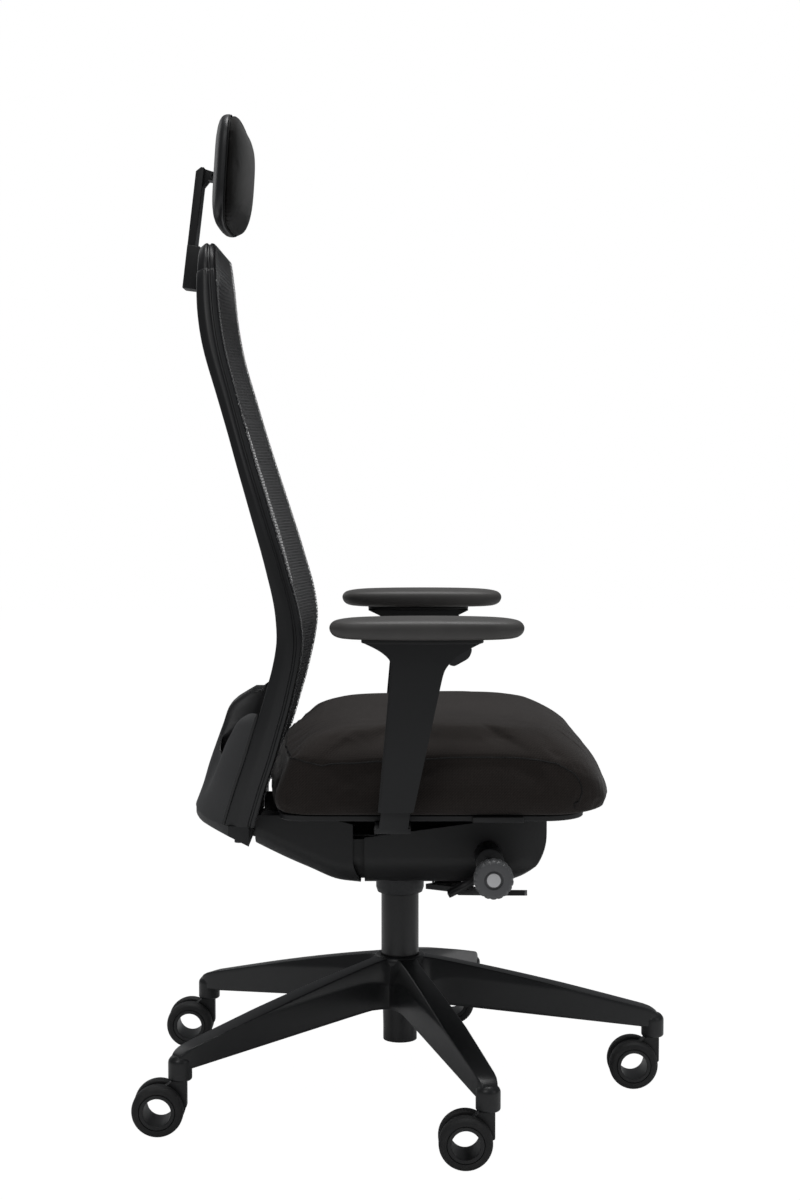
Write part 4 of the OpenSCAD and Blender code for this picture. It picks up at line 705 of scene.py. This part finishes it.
def build_arms(plastic, soft, grey, dark, steel):
    """The upright is its side view carried across its thickness, with rounded edges; the pad is rings of a
    rounded plan whose share and height run over its edge and crown."""
    low, high, mid, half = 418.0, 624.0, 26.7, 73.0

    def placed(*shares):
        return [(mid + s * half, low + (high - low) * t) for s, t in shares]

    side = rounded(placed((-0.73, 0), (-0.51, 0.88), (-0.58, 0.915), (-0.73, 0.955), (-1, 1), (1, 1),
                          (0.8, 0.965), (0.57, 0.92), (0.46, 0.88), (0.38, 0.843), (0.34, 0.806),
                          (0.25, 0.66), (-0.145, 0)), [2, 14, 8, 16, 0.6, 0.6, 10, 10, 8, 8, 10, 30, 2], 6)
    # The groove is not cut: a thin strip of the darker shroud plastic, raised on the upright's outer face, is
    # painted shade standing in for the shadow in the groove.
    groove = rounded(placed((-0.705, 0.03), (-0.505, 0.86), (-0.487, 0.86), (-0.687, 0.03)), 0.6, 2)
    button_x, button_z = mid + 146 * 0.22, low + (high - low) * 0.865
    button = rounded([(button_x + a, button_z + b) for a, b in
                      [(0, 0), (6.4, -1.8), (24, 8.1), (27.2, 16.2), (27.2, 19.8), (0, 19.8)]],
                      [2, 3, 4, 2, 1, 1], 4)
    turn = np.linspace(0, math.tau, 96, endpoint=False)
    pad_x, pad_y, pad_z = 32.0, 283.0, 642.0
    plate = np.column_stack([mid + half * power(np.cos(turn), 0.5), pad_y + 30 * power(np.sin(turn), 0.5)])
    steps = [(0.62, -12.6), (0.8, -12.6), (0.9, -12), (0.955, -9.6), (0.985, -6), (0.997, -2.5), (1.0, 0.2),
             (0.996, 2.6), (0.982, 5.2), (0.955, 7.6), (0.91, 9.5), (0.84, 10.9), (0.72, 11.7), (0.55, 12.0),
             (0.35, 12.1), (0.15, 12.1)]
    rings = np.stack([np.column_stack([pad_x + 116.5 * s * power(np.cos(turn), 0.72),
                                       pad_y + 47 * s * power(np.sin(turn), 0.6),
                                       pad_z + rise - 0.6 * np.abs(np.cos(turn)) * (rise > 9) * s])
                      for s, rise in steps])
    shapes = (slab(side, 257, 281), slab(groove, 280.2, 281.5), slab(button, 261.2, 276.8),
              slab(plate, 624.2, 629, "z"), skin(rings))
    for name, way in (("right", -1), ("left", 1)):
        stem, line, push, tray, rest = (flipped(shape, way) for shape in shapes)
        arm = f"arm_{name}"
        piece(f"arm_stem_{name}", [stem], plastic, arm, [f"arm_upright_{name}"], 3.2, 50, 0, 4)
        # painted shade: a dark strip where the groove would be in shadow
        piece(f"arm_groove_shade_{name}", [line], dark, arm, [], 0.3)
        piece(f"arm_push_{name}", [push], grey, f"{arm}_button", [f"arm_button_{name}"],
              1.6, 50)
        piece(f"arm_tray_{name}", [tray], dark, arm, [f"pad_plate_{name}"], 1.2, 50)
        pad = piece(f"arm_rest_{name}", [rest], soft, f"{arm}_pad", [f"arm_pad_{name}"], 0, 70, 1)
        refined(f"arm_bracket_{name}", f"arm_foot_{name}", steel, "seat_frame", 1.0)


# Back and headrest

BACK_LOW, BACK_TOP, BACK_HALF, MEMBER, CORNER = 388.0, 1115.0, 238.0, 22.0, 45.0


def rise(z):
    """Share of the back's height."""
    return (np.asarray(z, float) - BACK_LOW) / (BACK_TOP - BACK_LOW)


def rim(z):
    """Front rim of the side members: a lumbar point with the rim falling back above and below it."""
    return -120 - 112 * eased(rise(z), (0, 0.54), (0.066, 0.41), (0.124, 0.286), (0.163, 0.214),
                              (0.201, 0.143), (0.241, 0.08), (0.28, 0.027), (0.32, 0), (0.36, 0.027),
                              (0.439, 0.161), (0.538, 0.357), (0.636, 0.554), (0.732, 0.732),
                              (0.826, 0.893), (0.883, 0.95), (0.939, 0.98), (1, 1.01))


def deep(z):
    """Depth of the side members behind their front rim."""
    return 38 * eased(rise(z), (0, 1), (0.2, 0.93), (0.28, 0.85), (0.32, 0.81), (0.42, 0.69), (0.54, 0.63),
                      (0.64, 0.6), (0.94, 0.62), (1, 0.5))


def wide(z):
    """Half the back's width."""
    return BACK_HALF * eased(rise(z), (0, 0.84), (0.14, 0.95), (0.28, 1), (0.42, 1), (0.56, 0.945),
                             (0.7, 0.84), (0.84, 0.735), (0.93, 0.66), (1, 0.62))


def frame_rings():
    """The frame's section carried up one side, round the top and down the other: a front bead, the groove
    that takes the mesh, and a broad bevel on the outer rear corner."""
    corner, w = CORNER, MEMBER / 2
    z = np.linspace(BACK_LOW + 0.3, BACK_TOP - corner, 84)
    up = np.column_stack([-(wide(z) - w), z])
    turn = np.radians(np.linspace(5, 90, 16))
    reach = wide(BACK_TOP) - corner
    arc = np.column_stack([-reach - (corner - w) * np.cos(turn),
                           BACK_TOP - corner + (corner - w) * np.sin(turn)])
    across = np.column_stack([np.linspace(-reach, 0, 14)[1:], np.full(13, BACK_TOP - w)])
    half = np.vstack([up, arc, across])
    path = np.vstack([half, half[:-1][::-1] * (-1, 1)])
    way = np.gradient(path, axis=0)
    out = np.stack([-way[:, 1], way[:, 0]], -1) / np.linalg.norm(way, axis=1, keepdims=True)
    d = deep(path[:, 1])[:, None]
    section = np.array([(0.4, 0), (0.94, 0.9), (1.0, 5.2), (0.84, 6.4), (0.84, 8.4), (1.0, 9.6), (1.0, 0),
                        (0.4, 0), (-0.6, 0), (-1.0, 0), (-1.0, 2.0), (-0.5, 0)])
    depth = np.broadcast_to(section[:, 1], (len(path), 12)).copy()
    depth[:, 6], depth[:, 7], depth[:, 8], depth[:, 9] = d[:, 0] * 0.6, d[:, 0], d[:, 0], d[:, 0] * 0.8
    y = path[:, :1] + out[:, :1] * w * section[:, 0]
    z = path[:, 1:] + out[:, 1:] * w * section[:, 0]
    x = rim(z) - depth
    return rounded(np.stack([x, y, z], -1), [2.2, 1.6, 0.7, 0.5, 0.5, 0.8, 2.4, 2.6, 3, 2.4, 1.4, 2], 3)


def mesh_slices():
    """The stretched mesh: flat on the members and dished between them by one minus the square of the way
    across, fading out under the top; each slice goes up its front and down its back."""
    z = np.concatenate([np.linspace(426.5, 1085, 100), np.linspace(1089, BACK_TOP - 4, 8)])
    u = np.concatenate([[-1.001], np.linspace(-1, 1, 65), [1.001]])
    over = np.abs(u) > 1.0005
    cut = CORNER - np.sqrt(CORNER ** 2 - np.clip(z - BACK_TOP + CORNER, 0, CORNER) ** 2)
    inner, outer = wide(z) - cut - MEMBER, wide(z) - cut - 4
    y = np.where(over[:, None], np.sign(u)[:, None] * outer, np.clip(u, -1, 1)[:, None] * inner)
    fade = np.clip((BACK_TOP - MEMBER - z) / MEMBER / 4, 0, 1)
    fade = fade * fade * (3 - 2 * fade)
    dish = np.where(over[:, None], 0, 34 * (1 - np.clip(u, -1, 1)[:, None] ** 2) * fade)
    x = rim(z)[None] - dish + 0.5
    front = np.stack([x + 1.2, y, np.broadcast_to(z, y.shape)], -1)
    behind = front - (0.5, 0, 0)
    corners, faces, _ = trough(np.concatenate([front, behind[:, ::-1]], 1))
    climb = np.append(0, np.cumsum(np.hypot(np.diff(z), np.diff(rim(z)))))
    at = corners[np.asarray(faces).reshape(-1)]
    maps = np.column_stack([at[:, 1], np.interp(at[:, 2], z, climb)]) * MM
    return corners, faces, maps


def spine(z):
    """Rear line of the shell's middle hump."""
    return -112 - 136 * 1.17 * eased((z - 388) / 150, (0, 1), (0.18, 0.936), (0.36, 0.886), (0.53, 0.83),
                                     (0.71, 0.767), (0.89, 0.691), (1, 0.553))


def shell_slices():
    """The rear shell: across it runs from the side members to the spine as one minus the square, with a
    valley each side of the middle hump; its top edge follows the crest's table, and the hump is as thick
    as the gap to the mesh."""
    flank = np.linspace(0.3, 1, 22)[1:]
    u = np.concatenate([-flank[::-1], np.linspace(-0.3, 0.3, 37), flank])
    a = np.abs(u)
    crest = eased(a, (0, 1), (0.09, 0.99), (0.16, 0.72), (0.24, 0.54), (0.34, 0.47), (0.44, 0.49),
                  (0.56, 0.62), (0.7, 0.82), (0.84, 0.92), (1, 0.95))
    t = np.linspace(0, 1, 25)
    z = 388.2 + 149.8 * crest[:, None] * t
    side = rim(z) - deep(z) - 4.4
    outside = side + (spine(z) - side) * (1 - (u * u)[:, None])
    valley = np.exp(-((a - 0.38) / 0.15) ** 2)[:, None] * 9 * np.clip(t * 1.6 - 0.35, 0, 1)
    ridge = np.exp(-((a - 0.17) / 0.05) ** 2)[:, None] * 2.2 * t
    outside = outside + valley - ridge * 0.4
    front = rim(z) - 38
    thick = np.maximum(3.6, (front - outside) * np.interp(a, (0, 0.13, 0.21, 1), (1, 1, 0, 0))[:, None])
    soft = 1 - 0.55 * np.clip((t - 0.93) / 0.07, 0, 1) ** 2
    y = u[:, None] * (wide(z) - MEMBER / 2)
    middle = outside + thick / 2
    out, inner = middle - thick / 2 * soft, middle + thick / 2 * soft
    return trough(np.concatenate([np.stack([out, y, z], -1), np.stack([inner, y, z], -1)[:, ::-1]], 1))


def build_back(plastic, knit, shell, dark):
    bar_z = np.array([388.4, 392, 405, 418, 421.6])
    bar_y = np.linspace(-189, 189, 40)
    front = rim(bar_z) - 4.2
    loop = np.concatenate([np.column_stack([front, bar_z]), np.column_stack([front - 11.6, bar_z])[::-1]])
    bar = skin(np.stack([np.broadcast_to(loop[:, 0], (40, 10)), np.broadcast_to(bar_y[:, None], (40, 10)),
                         np.broadcast_to(loop[:, 1], (40, 10))], -1))
    piece("back_rim", [skin(frame_rings())], plastic, "back", ["back_frame"], angle=42)
    piece("back_foot_bar", [bar], plastic, "back", [], 1.5)
    piece("back_knit", [mesh_slices()], knit, "back", ["back_mesh"], angle=60)
    piece("back_cover", [shell_slices()], shell, "back", ["back_shell"], angle=46)
    yoke = refined("back_carrier", "back_yoke", dark, "back", 2.4, 30, 4)
    at = points_of(yoke.data)
    outer = np.clip((np.abs(at[:, 1]) - 0.09) / 0.11, 0, 1) * np.clip((-0.188 - at[:, 0]) / 0.025, 0, 1)
    rearward = np.clip((-0.188 - at[:, 0]) / 0.083, 0, 1)
    at[:, 2] += np.where(at[:, 2] < 0.38, 0.008 * outer + 0.008 * rearward, 0)
    set_points(yoke.data, at)
    refined("stalk_holder", "stalk_channel", dark, "back", 0.9)
    refined("head_stalk", "head_arm", plastic, "head_stalk", 1.2, 30, 4)


HEAD_HALF, HEAD_MID, HEAD_TALL = 140.0, 1210.5, 70.5
HEAD_AXIS = (-242.97, 1210.7)


def head_ring(share, depth, count=120):
    """A superellipse outline on the leaning parting face, with wings that come forward by the square of
    the way across."""
    turn = np.linspace(0, math.tau, count, endpoint=False)
    y = HEAD_HALF * share * power(np.cos(turn), 0.476)
    up = HEAD_TALL * share * power(np.sin(turn), 0.476)
    return np.column_stack([-221 + up * math.tan(math.radians(4)) + 4 * (y / HEAD_HALF) ** 2 + depth, y,
                            HEAD_MID + up])


def dome(share, fullness):
    """Height of a superellipse over a share of its half width."""
    return (1 - share ** fullness) ** (1 / fullness)


def build_headrest(shell, cloth, edge):
    """Shell and pad are rings of one outline: depth over a ring is a dome of its share, and the pad's face
    rises to its middle."""
    steps = np.array([0.04, 0.2, 0.4, 0.6, 0.75, 0.85, 0.92, 0.96, 0.985, 0.997])
    back = [head_ring(s, -18 * dome(s, 3.6)) for s in steps] + [head_ring(1.0, -3), head_ring(1.0, -1),
                                                              head_ring(0.992, -0.1)]
    face = [head_ring(s, 0) for s in (0.9, 0.6, 0.3, 0.04)]
    piece("head_cover", [skin(np.stack(back + face))], shell, "headrest", ["head_shell"],
          angle=50)
    axis_x, axis_z = HEAD_AXIS
    ear = rounded([(axis_x - 5, axis_z - 4), (axis_x + 16, axis_z - 9), (axis_x + 16, axis_z + 9),
                   (axis_x - 5, axis_z + 4)], [4, 1, 1, 4])
    piece("head_lugs", [slab(ear, 15.6, 20), slab(ear, -20, -15.6)], shell, "headrest", [],
          0.6)
    full = [(0.04, 0.4), (0.3, 0.4), (0.6, 0.4), (0.85, 0.4), (0.955, 0.5), (0.978, 1.8), (0.985, 3.9)]
    full += [(0.985 * r, 26 * (0.15 + 0.85 * dome(r, 2.1))) for r in
             (0.99, 0.97, 0.93, 0.87, 0.78, 0.66, 0.5, 0.3, 0.12, 0.03)]
    pad = put("head_cushion", [skin(np.stack([head_ring(s * 0.995, d) for s, d in full]))])
    close(pad)
    swell(pad, 0.004, 3.0, 0.0035, lambda p: p[:, 0] < -0.2125 + (p[:, 2] - 1.2105) * 0.07)
    wrap_map(pad)
    soften(pad, 0, 0, levels=1)
    dress(pad, cloth, "headrest", ["head_pad"])
    welt = tube_along(head_ring(0.984, 0.9, 240), 0.9, (1.0, 0, 0))
    piece("head_welt", [welt], edge, "headrest")


# Floor, light and camera

def stage_shader(name, bare, mixed):
    """White to the camera, with a share of the plain surface so that a shadow still shows."""
    f = Finish(name)
    f.made(Base_Color=(0.9, 0.9, 0.9), Roughness=0.6)
    path = f.tree.nodes.new("ShaderNodeLightPath")
    seen = Flow(f, path.outputs["Is Camera Ray"]).most(Flow(f, path.outputs["Is Transmission Ray"])) * mixed
    glow = f.add("ShaderNodeEmission", {}, {"Color": (1.0, 1.0, 1.0), "Strength": bare})
    both = f.add("ShaderNodeMixShader", {}, {0: seen, 1: Flow(f, f.shader.outputs[0]), 2: glow})
    output = next(n for n in f.tree.nodes if n.type == "OUTPUT_MATERIAL")
    f.tree.links.new(both.socket, output.inputs["Surface"])
    return f.material


def build_stage():
    floor = put("floor", [([(-9000.0, -9000.0, 0.0), (9000.0, -9000.0, 0.0), (9000.0, 9000.0, 0.0),
                            (-9000.0, 9000.0, 0.0)], [[0, 1, 2, 3]],
                            np.array([(0, 0), (1, 0), (1, 1), (0, 1)]))])
    floor.data.materials.append(stage_shader("floor_white", 1.03, 0.97))
    world = bpy.data.worlds.new("studio")
    bpy.context.scene.world = world
    world.use_nodes = True
    nodes, links = world.node_tree.nodes, world.node_tree.links
    back = nodes["Background"]
    back.inputs["Color"].default_value = (0.9, 0.92, 0.95, 1)
    back.inputs["Strength"].default_value = 0.17
    white = nodes.new("ShaderNodeBackground")
    white.inputs["Color"].default_value = (1, 1, 1, 1)
    path = nodes.new("ShaderNodeLightPath")
    mix = nodes.new("ShaderNodeMixShader")
    links.new(path.outputs["Is Camera Ray"], mix.inputs[0])
    links.new(back.outputs[0], mix.inputs[1])
    links.new(white.outputs[0], mix.inputs[2])
    links.new(mix.outputs[0], nodes["World Output"].inputs["Surface"])
    for name, place, turn, size, watts in (
            ("key", (-1.4, -2.6, 2.9), (48, 0, -28), 1.4, 17),
            ("fill", (2.6, -1.8, 1.6), (68, 0, 56), 1.2, 5),
            ("top", (0.2, 0.3, 3.4), (0, 0, 0), 1.6, 62), ("rim", (-2.2, 2.4, 2.0), (-62, 0, 42), 1.6, 7)):
        light = bpy.data.lights.new(name, "AREA")
        light.size, light.energy = size, watts
        lamp = bpy.data.objects.new(name, light)
        lamp.location, lamp.rotation_euler = place, [math.radians(a) for a in turn]
        bpy.context.collection.objects.link(lamp)
    lens = bpy.data.cameras.new("view")
    lens.lens, lens.sensor_width, lens.sensor_fit = 62.38, 36, "AUTO"
    camera = bpy.data.objects.new("view", lens)
    camera.location = (0, -2.757, 0.840)
    camera.rotation_euler = (math.radians(90 - 3.82), 0, 0)
    bpy.context.collection.objects.link(camera)
    bpy.context.scene.camera = camera
    bpy.context.scene.view_settings.view_transform = "Standard"


# The chair

plastics = {name: moulded(name, *look) for name, look in {
    "base_plastic": ((0.013, 0.0135, 0.0145), 0.36, 800, 0.00005),
    "fork_plastic": ((0.012, 0.0124, 0.0132), 0.42),
    "frame_plastic": ((0.0105, 0.0108, 0.0118), 0.42, 900, 0.00005),
    "arm_plastic": ((0.0125, 0.013, 0.014), 0.42),
    "shroud_plastic": ((0.0105, 0.0108, 0.0115), 0.5),
    "cover_plastic": ((0.017, 0.0172, 0.0182), 0.44),
    "headrest_plastic": ((0.016, 0.0165, 0.0175), 0.42),
    "knob_plastic": ((0.125, 0.127, 0.132), 0.42, 1100, 0.00004),
    "push_plastic": ((0.03, 0.031, 0.034), 0.4),
    "cap_plastic": ((0.78, 0.78, 0.79), 0.32, 1400, 0.00002),
    "bush_plastic_finish": ((0.6, 0.58, 0.52), 0.45)}.items()}
base, fork, frame_black, arm, shroud, cover, headrest, knob, push, cap, bush = plastics.values()
tread = rubber("tyre_rubber", (0.011, 0.011, 0.0115))
sleeve_paint = painted("sleeve_paint", (0.014, 0.0145, 0.0155), 0.3)
steel_paint = painted("steel_paint", (0.014, 0.0145, 0.0155), 0.42)
bright_steel = metal("bright_steel", (0.55, 0.55, 0.57), 0.28)
cast_paint = painted("cast_paint", (0.03, 0.031, 0.033), 0.5, 2.2)
seat_cloth = woven("seat_cloth", (0.0155, 0.0125, 0.0112), (0.038, 0.0315, 0.0282), 0.0018)
piping = leathery("piping_cloth", (0.0018, 0.0017, 0.0016), (0.003, 0.0028, 0.0026), 0.8, 0.0001, 900)
head_cloth = woven("head_cloth", (0.006, 0.0057, 0.0054), (0.013, 0.0122, 0.0115), 0.0016, 0.00014, 0.4)
# The pad colour is lifted above the pads' own dark grey so that it stands in for the shine on their tops:
# partly the pads' own colour, partly painted highlight.
pad_skin = leathery("pad_skin", (0.058, 0.0555, 0.0535), (0.078, 0.0745, 0.0715), 0.5, 0.00012, 700)
knit = open_mesh("back_knit_cloth", (0.012, 0.0122, 0.0135), (0.045, 0.0455, 0.049), 0.0052, 0.66)
dark_steel = metal("dark_steel", (0.09, 0.09, 0.095), 0.42)

build_base(base, fork, tread, sleeve_paint)
build_shrouds(shroud)
build_controls(knob, cap, shroud)
build_seat(seat_cloth, piping, shroud)
build_arms(arm, pad_skin, push, shroud, steel_paint)
build_back(frame_black, knit, cover, shroud)
build_headrest(headrest, head_cloth, piping)

for finish, nodes in (
        (bright_steel, ("castor_stems", "thrust_bearing", "rod_clip", "piston_rod", "release_pin",
                        "back_pivot_pins", "tilt_pin", "tension_shaft", "lever_pin", "seat_screws")),
        (dark_steel, ("tension_springs", "back_bolts")), (steel_paint, ("seat_frame", "head_pivot")),
        (bush, ("column_bush",)), (sleeve_paint, ("gas_cylinder",)),
        (cast_paint, ("mechanism_housing",))):
    for node in nodes:
        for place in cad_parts[node].material_slots:
            place.link, place.material = "OBJECT", finish

build_stage()
